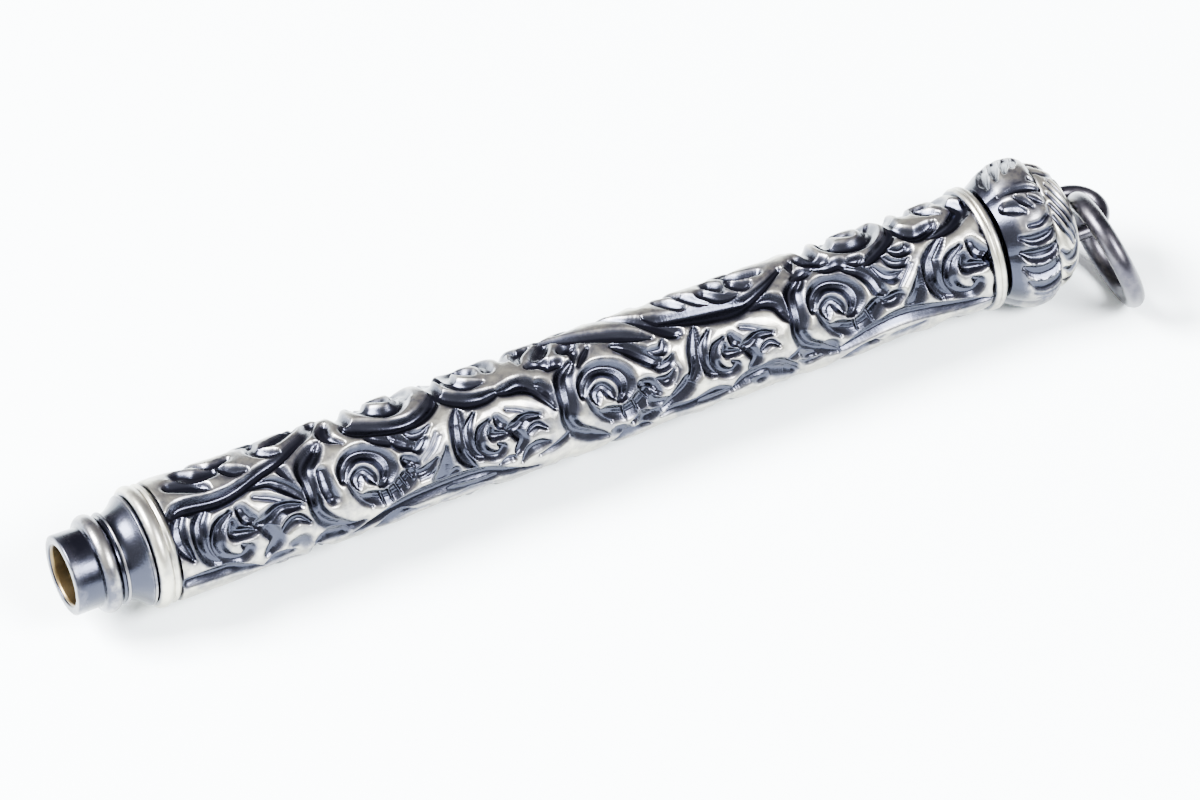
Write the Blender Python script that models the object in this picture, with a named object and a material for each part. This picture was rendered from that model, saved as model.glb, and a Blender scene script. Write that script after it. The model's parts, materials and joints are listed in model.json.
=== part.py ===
"""A silver slide-action needle case on a ring.

The case is a decorated tube with a stepped, open nozzle at one end and a
lobed pull head with an eye and a ring at the other.  Pulling the head out
drags a slotted tube past a fixed slotted tube; a pin that stands in both
slots is driven the other way, and pushes the tube of needles out of the
nozzle.

Every station along the case is measured from the nozzle's mouth, and every
radius from the case's own axis.  The world origin is under the middle of the
whole object, on the surface that it lies on.  +X runs from nozzle to head.
"""

import math

import bmesh
import bpy
import numpy as np
from mathutils import Matrix, Vector

MM = 0.001

# ---------------------------------------------------------------- fits
FIT_GAP = 0.10 * MM         # between pieces that are pressed or soldered together
RUN_GAP = 0.10 * MM         # between pieces that slide or turn on each other
JOINT_GAP = 0.10 * MM       # between end faces that meet
SLOT_GAP = 0.12 * MM        # from a pin to the side of its slot
FACET_ALLOWANCE = 0.02 * MM # for the flats on a faceted bore
PIN_SETBACK = 0.05 * MM     # end of a cross pin below the face round it
SPRING_GAP = 0.04 * MM      # the friction spring's play in its groove
CUT_REACH = 0.3 * MM        # how far a cutter stands clear of what it cuts
SIDES = 32                  # facets round a turned piece
SLOT_STEP = 1.0 * MM        # length of one facet along a slot
HEAD_SIDES = 48             # facets round the lobed head
SMOOTH_ANGLE = math.radians(40.0)

# ---------------------------------------------------------------- needles and their tube
NEEDLE_COUNT = 4
NEEDLE_RADIUS = 0.33 * MM
NEEDLE_LENGTH = 42.0 * MM
NEEDLE_START = 1.8 * MM     # the blunt ends, behind the nozzle's mouth
NEEDLE_CIRCLE = 0.78 * MM   # radius of the circle that the needles stand on
NEEDLE_POINT = 5.0 * MM
NEEDLE_SHOULDER = 0.4 * MM
EYE_HOLE = 1.3 * MM         # length of a needle's eye
EYE_HOLE_WIDTH = 0.277 * MM
EYE_HOLE_START = 0.5 * MM
TUBE_ROOM = 1.48 * MM       # inner radius of the needle tube
TUBE_WALL = 0.38 * MM
TUBE_START = 5.0 * MM
GUIDE_SETBACK = 0.2 * MM
GUIDE_WIDTH = 0.9 * MM
CORK_LENGTH = 5.0 * MM
CORK_BITE = 2.2 * MM        # depth of each point in the cork
CORK_HOLE_RADIUS = 0.30 * MM
BLOCK_SPIGOT = 3.0 * MM
BLOCK_SHOULDER = 1.0 * MM
JOURNAL_RADIUS = 1.15 * MM
SCREW_RADIUS = 0.45 * MM
SCREW_HEAD = 0.8 * MM
SCREW_SLOT = 0.4 * MM

# ---------------------------------------------------------------- action
STROKE = 20.0 * MM          # travel of the head, and of the needles the other way
PIN_RADIUS = 0.38 * MM
PIN_ANGLE = math.radians(270.0)
PIN_TURN = math.radians(-120.0)     # turn of the pin over the whole stroke
FOLLOWER_WIDTH = 2.0 * MM
FOLLOWER_STEP = 0.39 * MM   # from the needle tube out to the pull tube
PULL_WALL = 0.30 * MM
PULL_ROOM = 5.5 * MM        # from the nozzle's spigot to the pull tube
PULL_LAND = 2.0 * MM        # whole tube in front of the slot
CAM_WALL = 0.30 * MM
CAM_ROOM = 3.5 * MM         # from the nozzle's spigot to the cam tube
CAM_LAND = 5.0 * MM         # whole tube behind the slot
REAR_BUSH_LENGTH = 4.05 * MM
SPRING_SETBACK = 1.3 * MM   # from the cam tube to the friction spring
SPRING_WIDTH = 0.9 * MM
SPRING_WALL = 0.22 * MM
SPRING_OPENING = 0.9 * MM
KEY_SETBACK = 3.2 * MM      # from the cam tube to the key screw
KEY_ANGLE = math.radians(180.0)
KEY_RADIUS = 0.40 * MM

# ---------------------------------------------------------------- case
LINING_WALL = 0.25 * MM
SLEEVE_WALL = 0.65 * MM     # with the ornament's depth
COLLAR_WIDTH = 1.45 * MM    # big bead between nozzle and sleeve
COLLAR_RISE = 0.05 * MM     # bead over sleeve
COLLAR_SHOULDER = 0.55 * MM # foot of the bead under sleeve
REAR_COLLAR_WIDTH = 0.9 * MM
REAR_COLLAR_RISE = 0.17 * MM
REAR_SHOULDER = 0.25 * MM

# ---------------------------------------------------------------- nozzle
NOZZLE_LENGTH = 5.1 * MM    # mouth to the big bead
NOZZLE_SPIGOT = 4.4 * MM    # the plain part that goes into the lining
MOUTH_WALL = 0.72 * MM
MOUTH_ROUND = 0.15 * MM
BORE_LIP = 1.0 * MM         # depth of silver in front of the brass bush
BUSH_WALL = 0.25 * MM
BEAD_STATION = 2.4 * MM
BEAD_RISE = 0.58 * MM       # over the plain mouth
BEAD_HALF_WIDTH = 0.60 * MM
FILLET_STATION = 3.4 * MM   # thin ring behind the bead
FILLET_RISE = 0.42 * MM
FILLET_HALF_WIDTH = 0.16 * MM
GROOVE_RISE = 0.22 * MM
FLARE_DROP = 0.33 * MM      # thin ring in front of the big bead, under the sleeve
FLARE_WIDTH = 0.22 * MM

# ---------------------------------------------------------------- head
HEAD_RISE = 1.03 * MM       # tops of the lobes over the sleeve
HEAD_GAP = 0.25 * MM        # dark gap between rear collar and head
HEAD_LENGTH = 4.9 * MM
HEAD_NECK_DROP = 0.10 * MM
HEAD_WIDEST = 2.7 * MM      # from the head's front to its widest place
LOBES = 6
LOBE_DEPTH = 0.04           # valley depth as a share of the radius
CORE_WALL = 0.35 * MM
CORE_BORE_DEPTH = 2.8 * MM
CORE_SETBACK = 0.5 * MM
CORE_NOSE_RADIUS = 1.0 * MM
CORE_NOSE = 0.6 * MM
BOSS_LENGTH = 0.65 * MM     # what stands out behind the head
BOSS_RADIUS = 3.90 * MM
BOSS_END_RADIUS = 2.1 * MM
HEAD_PIN_RADIUS = 0.30 * MM

# ---------------------------------------------------------------- eye and ring
EYE_RADIUS = 1.90 * MM      # to the middle of the wire
EYE_WIRE = 0.50 * MM
EYE_STANDOFF = 1.05 * MM    # boss end to the middle of the eye's bend
EYE_LEG = 1.00 * MM         # depth of each leg in the boss
RING_RADIUS = 3.65 * MM
RING_WIRE = 0.68 * MM
RING_TILT = math.radians(17.3)
RING_OUT = -3.38 * MM       # centre of the ring, sideways from the axis
RING_DROP = -0.68 * MM      # centre of the ring, below the axis
RING_AHEAD = 0.58 * MM      # centre of the ring, behind the eye's middle

# ---------------------------------------------------------------- radii, from the needles outwards
tube_outer = TUBE_ROOM + TUBE_WALL
plug_radius = TUBE_ROOM - FIT_GAP / 2.0
bore_radius = tube_outer + RUN_GAP + FACET_ALLOWANCE
bush_outer = bore_radius + BUSH_WALL
pull_inner = tube_outer + FOLLOWER_STEP
pull_outer = pull_inner + PULL_WALL
follower_outer = pull_inner - RUN_GAP
cam_inner = pull_outer + RUN_GAP
cam_outer = cam_inner + CAM_WALL
lining_inner = cam_outer + FIT_GAP
lining_outer = lining_inner + LINING_WALL
spigot_radius = lining_inner - FIT_GAP
sleeve_inner = lining_outer + FIT_GAP
sleeve_outer = sleeve_inner + SLEEVE_WALL
mouth_radius = bore_radius + MOUTH_WALL
core_radius = pull_outer + FIT_GAP + CORE_WALL
head_bore = core_radius + FIT_GAP
head_radius = sleeve_outer + HEAD_RISE

# ---------------------------------------------------------------- stations, from the mouth backwards
nozzle_back = NOZZLE_LENGTH + NOZZLE_SPIGOT
collar_start = NOZZLE_LENGTH + JOINT_GAP
sleeve_start = collar_start + COLLAR_WIDTH + JOINT_GAP
pull_start = nozzle_back + PULL_ROOM
needle_end = NEEDLE_START + NEEDLE_LENGTH
cork_start = needle_end - CORK_BITE
block_length = BLOCK_SPIGOT + BLOCK_SHOULDER + 2.0 * JOINT_GAP + RUN_GAP
# The case is as long as the stroke or the needles need, whichever is more.
pin_station = max(pull_start + PULL_LAND + 2.0 * STROKE,
                  cork_start + CORK_LENGTH + block_length + FOLLOWER_WIDTH / 2.0)
journal_start = pin_station - FOLLOWER_WIDTH / 2.0 - RUN_GAP
journal_end = pin_station + FOLLOWER_WIDTH / 2.0 + RUN_GAP
tube_end = journal_start - BLOCK_SHOULDER - JOINT_GAP
cam_end = pin_station + CAM_LAND
spring_station = cam_end + SPRING_SETBACK
key_station = cam_end + KEY_SETBACK
case_end = cam_end + REAR_BUSH_LENGTH
rear_collar_start = case_end - REAR_COLLAR_WIDTH
sleeve_end = rear_collar_start - JOINT_GAP
head_start = case_end + HEAD_GAP
head_end = head_start + HEAD_LENGTH
core_end = head_end - CORE_SETBACK
pull_end = head_start + CORE_BORE_DEPTH - JOINT_GAP
boss_start = head_end + JOINT_GAP
boss_end = boss_start + BOSS_LENGTH
eye_station = boss_end + EYE_STANDOFF
ring_station = eye_station + RING_AHEAD


def lobed(angle):
    """Radius of the head's outline as a share of its largest: round lobes that meet in shallow valleys."""
    half = math.pi / LOBES
    return 1.0 - LOBE_DEPTH * (1.0 - np.abs(np.cos((angle - half) * LOBES / 2.0)))


def ring_reach(normal_part):
    """How far a ring reaches from its centre along an axis, from its normal's part along that axis."""
    return RING_RADIUS * math.sqrt(1.0 - normal_part ** 2) + RING_WIRE


outline_angles = np.linspace(0.0, 2.0 * math.pi, HEAD_SIDES, endpoint=False)
outline_radii = head_radius * lobed(outline_angles)
head_low = (outline_radii * np.cos(outline_angles)).min()
head_side = (outline_radii * np.sin(outline_angles)).max()
ring_low = RING_DROP - ring_reach(math.sin(RING_TILT))
ring_side = RING_OUT - ring_reach(0.0)
far_end = max(ring_station + ring_reach(math.cos(RING_TILT)), eye_station + EYE_RADIUS + EYE_WIRE)

AXIS_AT = Vector((-far_end / 2.0, -(head_side + ring_side) / 2.0, -min(head_low, ring_low)))


# ---------------------------------------------------------------- making
def clear_scene():
    for obj in list(bpy.data.objects):
        bpy.data.objects.remove(obj, do_unlink=True)


def material(name, colour, roughness, metallic):
    made = bpy.data.materials.new(name)
    made.use_nodes = True
    shader = made.node_tree.nodes["Principled BSDF"]
    shader.inputs["Base Color"].default_value = (*colour, 1.0)
    shader.inputs["Roughness"].default_value = roughness
    shader.inputs["Metallic"].default_value = metallic
    return made


def empty(name, location, parent=None):
    made = bpy.data.objects.new(name, None)
    made.empty_display_size = 2.0 * MM
    made.location = location
    made.parent = parent
    bpy.context.scene.collection.objects.link(made)
    return made


def add_object(name, data, parent, finish=None):
    made = bpy.data.objects.new(name, data)
    made.parent = parent
    if finish is not None:
        data.materials.append(finish)
    bpy.context.scene.collection.objects.link(made)
    return made


def smooth(mesh):
    mesh.shade_smooth()
    mesh.set_sharp_from_angle(angle=SMOOTH_ANGLE)


def arc(station, radius, size, start, end, steps):
    """Points of a round stretch of a profile: an arc of the given size about (station, radius), in degrees."""
    turn = np.radians(np.linspace(start, end, steps))
    return [(station + size * math.cos(a), radius + size * math.sin(a)) for a in turn]


def bump(station, base, peak, half_width, steps):
    """A bead on a profile: half an ellipse that stands on the base radius."""
    turn = np.linspace(math.pi, 0.0, steps)
    return [(station + half_width * math.cos(a), base + (peak - base) * math.sin(a)) for a in turn]


def turned_mesh(name, outline, sides):
    """Spins an outline of (station, radius) points about the axis.  An outline that starts and ends on
    the axis makes a solid, and any other outline is closed into a ring."""
    solid = outline[0][1] == 0.0 and outline[-1][1] == 0.0
    bm = bmesh.new()
    corners = [bm.verts.new((station, 0.0, radius)) for station, radius in outline]
    edges = [bm.edges.new(pair) for pair in zip(corners, corners[1:])]
    if not solid:
        edges.append(bm.edges.new((corners[-1], corners[0])))
    bmesh.ops.spin(bm, geom=corners + edges, cent=(0, 0, 0), axis=(1, 0, 0), angle=2.0 * math.pi,
                   steps=sides, use_merge=True, use_duplicate=False)
    bmesh.ops.remove_doubles(bm, verts=bm.verts, dist=1e-7)
    bmesh.ops.recalc_face_normals(bm, faces=bm.faces)
    mesh = bpy.data.meshes.new(name)
    bm.to_mesh(mesh)
    bm.free()
    smooth(mesh)
    return mesh


def turned(name, outline, parent, finish, sides=SIDES):
    return add_object(name, turned_mesh(name, outline, sides), parent, finish)


def tube_outline(start, end, outer, inner):
    return [(start, inner), (start, outer), (end, outer), (end, inner)]


def rod_mesh(name, radius, low, high, sides):
    """A plain rod along Z between two heights."""
    bm = bmesh.new()
    bmesh.ops.create_cone(bm, cap_ends=True, segments=sides, radius1=radius, radius2=radius,
                          depth=high - low, matrix=Matrix.Translation((0, 0, (low + high) / 2.0)))
    mesh = bpy.data.meshes.new(name)
    bm.to_mesh(mesh)
    bm.free()
    smooth(mesh)
    return mesh


def radial(name, station, angle, radius, low, high, parent, finish, sides=16):
    """A rod that stands out from the axis at a station and an angle about +X, from one radius to another."""
    made = add_object(name, rod_mesh(name, radius, low, high, sides), parent, finish)
    made.location = (station, 0.0, 0.0)
    made.rotation_euler = (angle, 0.0, 0.0)
    return made


def as_cutter(obj):
    obj.hide_render = True
    obj.display_type = "WIRE"
    return obj


def cut(obj, cutter):
    modifier = obj.modifiers.new("cut_" + cutter.name, "BOOLEAN")
    modifier.operation = "DIFFERENCE"
    modifier.solver = "EXACT"
    modifier.object = as_cutter(cutter)
    return obj


def slot_cutter(name, start, end, start_angle, end_angle, width, inner, outer, parent):
    """A bar bent round the axis: it runs from one station and angle to another at an even pitch, and
    reaches from below the inner radius to above the outer one."""
    steps = max(2, int(round((end - start) / SLOT_STEP)))
    half = width / (inner + outer)
    bm = bmesh.new()
    rows = []
    for step in range(steps + 1):
        share = step / steps
        station = start + (end - start) * share
        angle = start_angle + (end_angle - start_angle) * share
        low, high = inner - CUT_REACH, outer + CUT_REACH
        corners = [(low, -half), (low, half), (high, half), (high, -half)]
        rows.append([bm.verts.new((station, -r * math.sin(angle + a), r * math.cos(angle + a)))
                     for r, a in corners])
    for near, far in zip(rows, rows[1:]):
        for i in range(4):
            j = (i + 1) % 4
            bm.faces.new((near[i], near[j], far[j], far[i]))
    bm.faces.new(rows[0])
    bm.faces.new(rows[-1])
    bmesh.ops.recalc_face_normals(bm, faces=bm.faces)
    mesh = bpy.data.meshes.new(name)
    bm.to_mesh(mesh)
    bm.free()
    return as_cutter(add_object(name, mesh, parent))


def wire(name, points, radius, closed, parent, finish, resolution=4):
    """A round wire along a path."""
    curve = bpy.data.curves.new(name, "CURVE")
    curve.dimensions = "3D"
    curve.bevel_depth = radius
    curve.bevel_resolution = resolution
    curve.use_fill_caps = not closed
    spline = curve.splines.new("POLY")
    spline.points.add(len(points) - 1)
    for point, place in zip(spline.points, points):
        point.co = (*place, 1.0)
    spline.use_cyclic_u = closed
    return add_object(name, curve, parent, finish)


# ---------------------------------------------------------------- the case
def make_case(axis, finishes):
    silver, brass, steel, bronze = (finishes[k] for k in ("silver", "brass", "steel", "bronze"))

    turned("case_sleeve", tube_outline(sleeve_start, sleeve_end, sleeve_outer, sleeve_inner), axis, silver)
    turned("lining_tube", tube_outline(sleeve_start, case_end, lining_outer, lining_inner), axis, brass)

    collar_bore = spigot_radius + FIT_GAP
    half = COLLAR_WIDTH / 2.0
    turned("front_collar", [(collar_start, collar_bore)]
           + bump(collar_start + half, sleeve_outer - COLLAR_SHOULDER, sleeve_outer + COLLAR_RISE, half, 11)
           + [(collar_start + COLLAR_WIDTH, collar_bore)], axis, silver)
    rear_bore = lining_outer + FIT_GAP
    half = REAR_COLLAR_WIDTH / 2.0
    turned("rear_collar", [(rear_collar_start, rear_bore)]
           + bump(rear_collar_start + half, sleeve_outer - REAR_SHOULDER, sleeve_outer + REAR_COLLAR_RISE, half, 9)
           + [(case_end, rear_bore)], axis, silver)

    groove_radius = mouth_radius + GROOVE_RISE
    flare_radius = sleeve_outer - FLARE_DROP
    flare_start = FILLET_STATION + FILLET_HALF_WIDTH
    flare_run = NOZZLE_LENGTH - FLARE_WIDTH - flare_start
    flare = [(flare_start + share * flare_run, groove_radius + (flare_radius - groove_radius) * share ** 1.6)
             for share in (0.15, 0.4, 0.6, 0.8, 1.0)]
    seat = bush_outer + FIT_GAP
    outline = ([(0.0, bore_radius)]
               + arc(MOUTH_ROUND, mouth_radius - MOUTH_ROUND, MOUTH_ROUND, 180.0, 90.0, 4)
               + [(BEAD_STATION - BEAD_HALF_WIDTH - JOINT_GAP, mouth_radius)]
               + bump(BEAD_STATION, groove_radius - JOINT_GAP, mouth_radius + BEAD_RISE, BEAD_HALF_WIDTH, 9)
               + bump(FILLET_STATION, groove_radius, mouth_radius + FILLET_RISE, FILLET_HALF_WIDTH, 5)
               + flare
               + [(NOZZLE_LENGTH, flare_radius), (NOZZLE_LENGTH, spigot_radius), (nozzle_back, spigot_radius),
                  (nozzle_back, seat), (BORE_LIP, seat), (BORE_LIP, bore_radius)])
    turned("nozzle", outline, axis, silver)
    turned("nozzle_bush", tube_outline(BORE_LIP + JOINT_GAP, nozzle_back, bush_outer, bore_radius), axis, brass)

    cam = turned("cam_tube", tube_outline(nozzle_back + CAM_ROOM, cam_end, cam_outer, cam_inner), axis, brass)
    slack = PIN_RADIUS + SLOT_GAP
    spare_turn = PIN_TURN * slack / STROKE
    cut(cam, slot_cutter("cam_slot", pin_station - STROKE - slack, pin_station + slack,
                         PIN_ANGLE + PIN_TURN + spare_turn, PIN_ANGLE - spare_turn,
                         2.0 * slack, cam_inner, cam_outer, axis))

    bush_start = cam_end + JOINT_GAP
    bush_bore = pull_outer + RUN_GAP
    groove = bush_bore + SPRING_WALL
    spring_end = spring_station + SPRING_WIDTH
    bush = turned("rear_bush", [(bush_start, bush_bore), (bush_start, spigot_radius), (case_end, spigot_radius),
                                (case_end, bush_bore), (spring_end + RUN_GAP, bush_bore),
                                (spring_end + RUN_GAP, groove), (spring_station - RUN_GAP, groove),
                                (spring_station - RUN_GAP, bush_bore)], axis, brass)
    cut(bush, radial("key_hole", key_station, KEY_ANGLE, KEY_RADIUS + FIT_GAP / 2.0, bush_bore - CUT_REACH,
                     spigot_radius + CUT_REACH, axis, None))
    radial("key_screw", key_station, KEY_ANGLE, KEY_RADIUS, pull_inner + PIN_SETBACK,
           spigot_radius - PIN_SETBACK, axis, steel)

    spring = turned("friction_spring", tube_outline(spring_station, spring_end, groove - SPRING_GAP,
                                                    pull_outer + SPRING_GAP), axis, bronze)
    cut(spring, slot_cutter("spring_opening", spring_station - RUN_GAP, spring_end + RUN_GAP, 0.0, 0.0,
                            SPRING_OPENING, pull_outer, groove, axis))


# ---------------------------------------------------------------- the pull head
def make_head_shell(head, silver):
    """The lobed head: a flared skin, largest near its middle, over a plain bore."""
    neck = sleeve_outer - HEAD_NECK_DROP
    swell = []
    for share in np.linspace(0.0, 1.0, 6)[1:]:
        radius = neck + (head_radius - neck) * math.sin(share * math.pi / 2.0)
        swell.append((head_start + HEAD_WIDEST * share, radius))
    for share in np.linspace(0.0, 1.0, 7)[1:]:
        radius = sleeve_outer + (head_radius - sleeve_outer) * math.sqrt(1.0 - share ** 2.2)
        swell.append((head_start + HEAD_WIDEST + (HEAD_LENGTH - HEAD_WIDEST) * share, radius))
    shell = turned("head_shell", [(head_start, head_bore), (head_start, neck)] + swell
                   + [(head_end, head_bore)], head, silver, HEAD_SIDES)
    for vertex in shell.data.vertices:
        radius = math.hypot(vertex.co.y, vertex.co.z)
        if radius > head_bore + FIT_GAP:
            share = float(lobed(math.atan2(-vertex.co.y, vertex.co.z)))
            vertex.co.y *= share
            vertex.co.z *= share
    return shell


def make_head(head, finishes):
    silver, brass, steel, grey = (finishes[k] for k in ("silver", "brass", "steel", "grey"))

    pull = turned("pull_tube", tube_outline(pull_start, pull_end, pull_outer, pull_inner), head, silver)
    slack = PIN_RADIUS + SLOT_GAP
    spare_turn = PIN_TURN * slack / (2.0 * STROKE)
    cut(pull, slot_cutter("pull_slot", pin_station - 2.0 * STROKE - slack, pin_station + slack,
                          PIN_ANGLE + PIN_TURN + spare_turn, PIN_ANGLE - spare_turn,
                          2.0 * slack, pull_inner, pull_outer, head))
    key_slack = KEY_RADIUS + SLOT_GAP
    cut(pull, slot_cutter("keyway", key_station - STROKE - key_slack, key_station + key_slack,
                          KEY_ANGLE, KEY_ANGLE, 2.0 * key_slack, pull_inner, pull_outer, head))

    make_head_shell(head, silver)

    bore = pull_outer + FIT_GAP
    bore_end = head_start + CORE_BORE_DEPTH
    core = turned("head_core", [(bore_end, 0.0), (bore_end, bore), (head_start, bore), (head_start, core_radius),
                                (core_end, core_radius), (core_end, CORE_NOSE_RADIUS),
                                (core_end + CORE_NOSE, CORE_NOSE_RADIUS), (core_end + CORE_NOSE, 0.0)],
                  head, brass)
    cross_station = head_start + CORE_BORE_DEPTH / 2.0
    pin_hole = radial("head_pin_hole", cross_station, 0.0, HEAD_PIN_RADIUS + FIT_GAP / 2.0,
                      pull_inner - CUT_REACH, core_radius + PIN_SETBACK, head, None)
    cut(core, pin_hole)
    cut(pull, pin_hole)
    radial("head_pin", cross_station, 0.0, HEAD_PIN_RADIUS, pull_inner, core_radius - PIN_SETBACK, head, steel)

    recess = CORE_NOSE_RADIUS + FIT_GAP / 2.0
    recess_end = core_end + CORE_NOSE + JOINT_GAP
    boss_front = core_end + JOINT_GAP
    dome = [(boss_start + BOSS_LENGTH * math.sin(turn), BOSS_END_RADIUS
             + (BOSS_RADIUS - BOSS_END_RADIUS) * math.cos(turn))
            for turn in np.radians(np.linspace(0.0, 90.0, 7))]
    boss = turned("end_boss", [(recess_end, 0.0), (recess_end, recess), (boss_front, recess),
                               (boss_front, core_radius), (boss_start, core_radius)] + dome
                  + [(boss_end, 0.0)], head, silver)
    for side, name in ((1.0, "left"), (-1.0, "right")):
        hole = add_object("eye_hole_" + name, rod_mesh("eye_hole_" + name, EYE_WIRE + FIT_GAP / 2.0,
                                                       -EYE_LEG, EYE_LEG, 16), head)
        hole.location = (boss_end, side * EYE_RADIUS, 0.0)
        hole.rotation_euler = (0.0, math.pi / 2.0, 0.0)
        cut(boss, hole)

    bend = [(eye_station + EYE_RADIUS * math.cos(a), EYE_RADIUS * math.sin(a), 0.0)
            for a in np.radians(np.linspace(90.0, -90.0, 17))]
    leg_end = boss_end - EYE_LEG + JOINT_GAP
    wire("eye", [(leg_end, EYE_RADIUS, 0.0)] + bend + [(leg_end, -EYE_RADIUS, 0.0)], EYE_WIRE, False, head, grey)


def make_ring(head, finishes):
    """The split ring that the case hangs from.  It stands through the eye, and leans against the head."""
    pivot = empty("ring_pivot", (eye_station, 0.0, 0.0), head)
    across = Vector((0.0, 1.0, 0.0))
    along = Vector((-math.sin(RING_TILT), 0.0, math.cos(RING_TILT)))
    centre = Vector((RING_AHEAD, RING_OUT, RING_DROP))
    turn = np.linspace(0.0, 2.0 * math.pi, 40, endpoint=False)
    path = [centre + RING_RADIUS * (across * math.cos(a) + along * math.sin(a)) for a in turn]
    wire("jump_ring", path, RING_WIRE, True, pivot, finishes["grey"])


# ---------------------------------------------------------------- the needles and what carries them
def make_needle(index, carrier, steel):
    """A sewing needle: a round shank that tapers to a point, with a long eye at the other end."""
    name = f"needle_{index + 1}"
    blunt = 0.5 * NEEDLE_RADIUS
    outline = [(NEEDLE_START, 0.0), (NEEDLE_START, blunt), (NEEDLE_START + NEEDLE_SHOULDER, NEEDLE_RADIUS),
               (needle_end - NEEDLE_POINT, NEEDLE_RADIUS), (needle_end - NEEDLE_POINT / 3.0, NEEDLE_RADIUS / 2.0),
               (needle_end, 0.0)]
    needle = turned(name, outline, carrier, steel, 12)
    turn = 2.0 * math.pi * index / NEEDLE_COUNT
    needle.location = (0.0, -NEEDLE_CIRCLE * math.sin(turn), NEEDLE_CIRCLE * math.cos(turn))
    hole_mesh = rod_mesh(name + "_eye", EYE_HOLE_WIDTH / 2.0, -2.0 * NEEDLE_RADIUS, 2.0 * NEEDLE_RADIUS, 12)
    hole_mesh.transform(Matrix.Diagonal((EYE_HOLE / EYE_HOLE_WIDTH, 1.0, 1.0, 1.0)))
    hole = add_object(name + "_eye", hole_mesh, needle)
    hole.location = (NEEDLE_START + EYE_HOLE_START + EYE_HOLE / 2.0, 0.0, 0.0)
    return cut(needle, hole)


def bore_for_needles(obj, radius, start, end, parent):
    for index in range(NEEDLE_COUNT):
        turn = 2.0 * math.pi * index / NEEDLE_COUNT
        name = f"{obj.name}_bore_{index + 1}"
        hole = add_object(name, rod_mesh(name, radius, start, end, 12), parent)
        hole.rotation_euler = (0.0, math.pi / 2.0, 0.0)
        hole.location = (0.0, -NEEDLE_CIRCLE * math.sin(turn), NEEDLE_CIRCLE * math.cos(turn))
        cut(obj, hole)


def make_carrier(carrier, finishes):
    brass, steel, cork_finish = (finishes[k] for k in ("brass", "steel", "cork"))

    turned("needle_tube", tube_outline(TUBE_START, tube_end, tube_outer, TUBE_ROOM), carrier, brass)

    guide_start = TUBE_START + GUIDE_SETBACK
    guide = turned("needle_guide", [(guide_start, 0.0), (guide_start, plug_radius),
                                    (guide_start + GUIDE_WIDTH, plug_radius), (guide_start + GUIDE_WIDTH, 0.0)],
                   carrier, brass)
    bore_for_needles(guide, NEEDLE_RADIUS + RUN_GAP / 2.0, guide_start - CUT_REACH,
                     guide_start + GUIDE_WIDTH + CUT_REACH, carrier)
    cork = turned("cork_pad", [(cork_start, 0.0), (cork_start, plug_radius), (cork_start + CORK_LENGTH, plug_radius),
                               (cork_start + CORK_LENGTH, 0.0)], carrier, cork_finish)
    bore_for_needles(cork, CORK_HOLE_RADIUS, cork_start - CUT_REACH, needle_end + FIT_GAP, carrier)
    for index in range(NEEDLE_COUNT):
        make_needle(index, carrier, steel)

    shoulder = tube_end + JOINT_GAP
    screw_bore = SCREW_RADIUS + FIT_GAP / 2.0
    screw_depth = shoulder - BLOCK_SPIGOT / 2.0
    turned("carrier_block", [(tube_end - BLOCK_SPIGOT, 0.0), (tube_end - BLOCK_SPIGOT, plug_radius),
                             (shoulder, plug_radius), (shoulder, tube_outer), (journal_start, tube_outer),
                             (journal_start, JOURNAL_RADIUS), (journal_end, JOURNAL_RADIUS),
                             (journal_end, screw_bore), (screw_depth, screw_bore), (screw_depth, 0.0)],
           carrier, brass)
    head_face = journal_end + JOINT_GAP
    screw = turned("carrier_screw", [(screw_depth + JOINT_GAP, 0.0), (screw_depth + JOINT_GAP, SCREW_RADIUS),
                                     (head_face, SCREW_RADIUS), (head_face, tube_outer),
                                     (head_face + SCREW_HEAD, tube_outer), (head_face + SCREW_HEAD, 0.0)],
                   carrier, steel)
    bm = bmesh.new()
    bmesh.ops.create_cube(bm, size=1.0, matrix=Matrix.Diagonal((SCREW_SLOT, SCREW_SLOT, 2.4 * tube_outer, 1.0)))
    mesh = bpy.data.meshes.new("screw_slot")
    bm.to_mesh(mesh)
    bm.free()
    slot = add_object("screw_slot", mesh, carrier)
    slot.location = (head_face + SCREW_HEAD, 0.0, 0.0)
    cut(screw, slot)


def make_follower(carrier, finishes):
    """The collar that turns on the carrier's journal, and the pin that it holds in both slots."""
    turning = empty("follower_turn", (pin_station, 0.0, 0.0), carrier)
    half = FOLLOWER_WIDTH / 2.0
    collar = turned("follower_collar", tube_outline(-half, half, follower_outer, JOURNAL_RADIUS + RUN_GAP),
                    turning, finishes["steel"])
    cut(collar, radial("follower_hole", 0.0, PIN_ANGLE, PIN_RADIUS + FIT_GAP / 2.0, JOURNAL_RADIUS,
                       follower_outer + CUT_REACH, turning, None))
    radial("follower_pin", 0.0, PIN_ANGLE, PIN_RADIUS, JOURNAL_RADIUS + 2.0 * RUN_GAP, cam_outer - PIN_SETBACK,
           turning, finishes["steel"])


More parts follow.
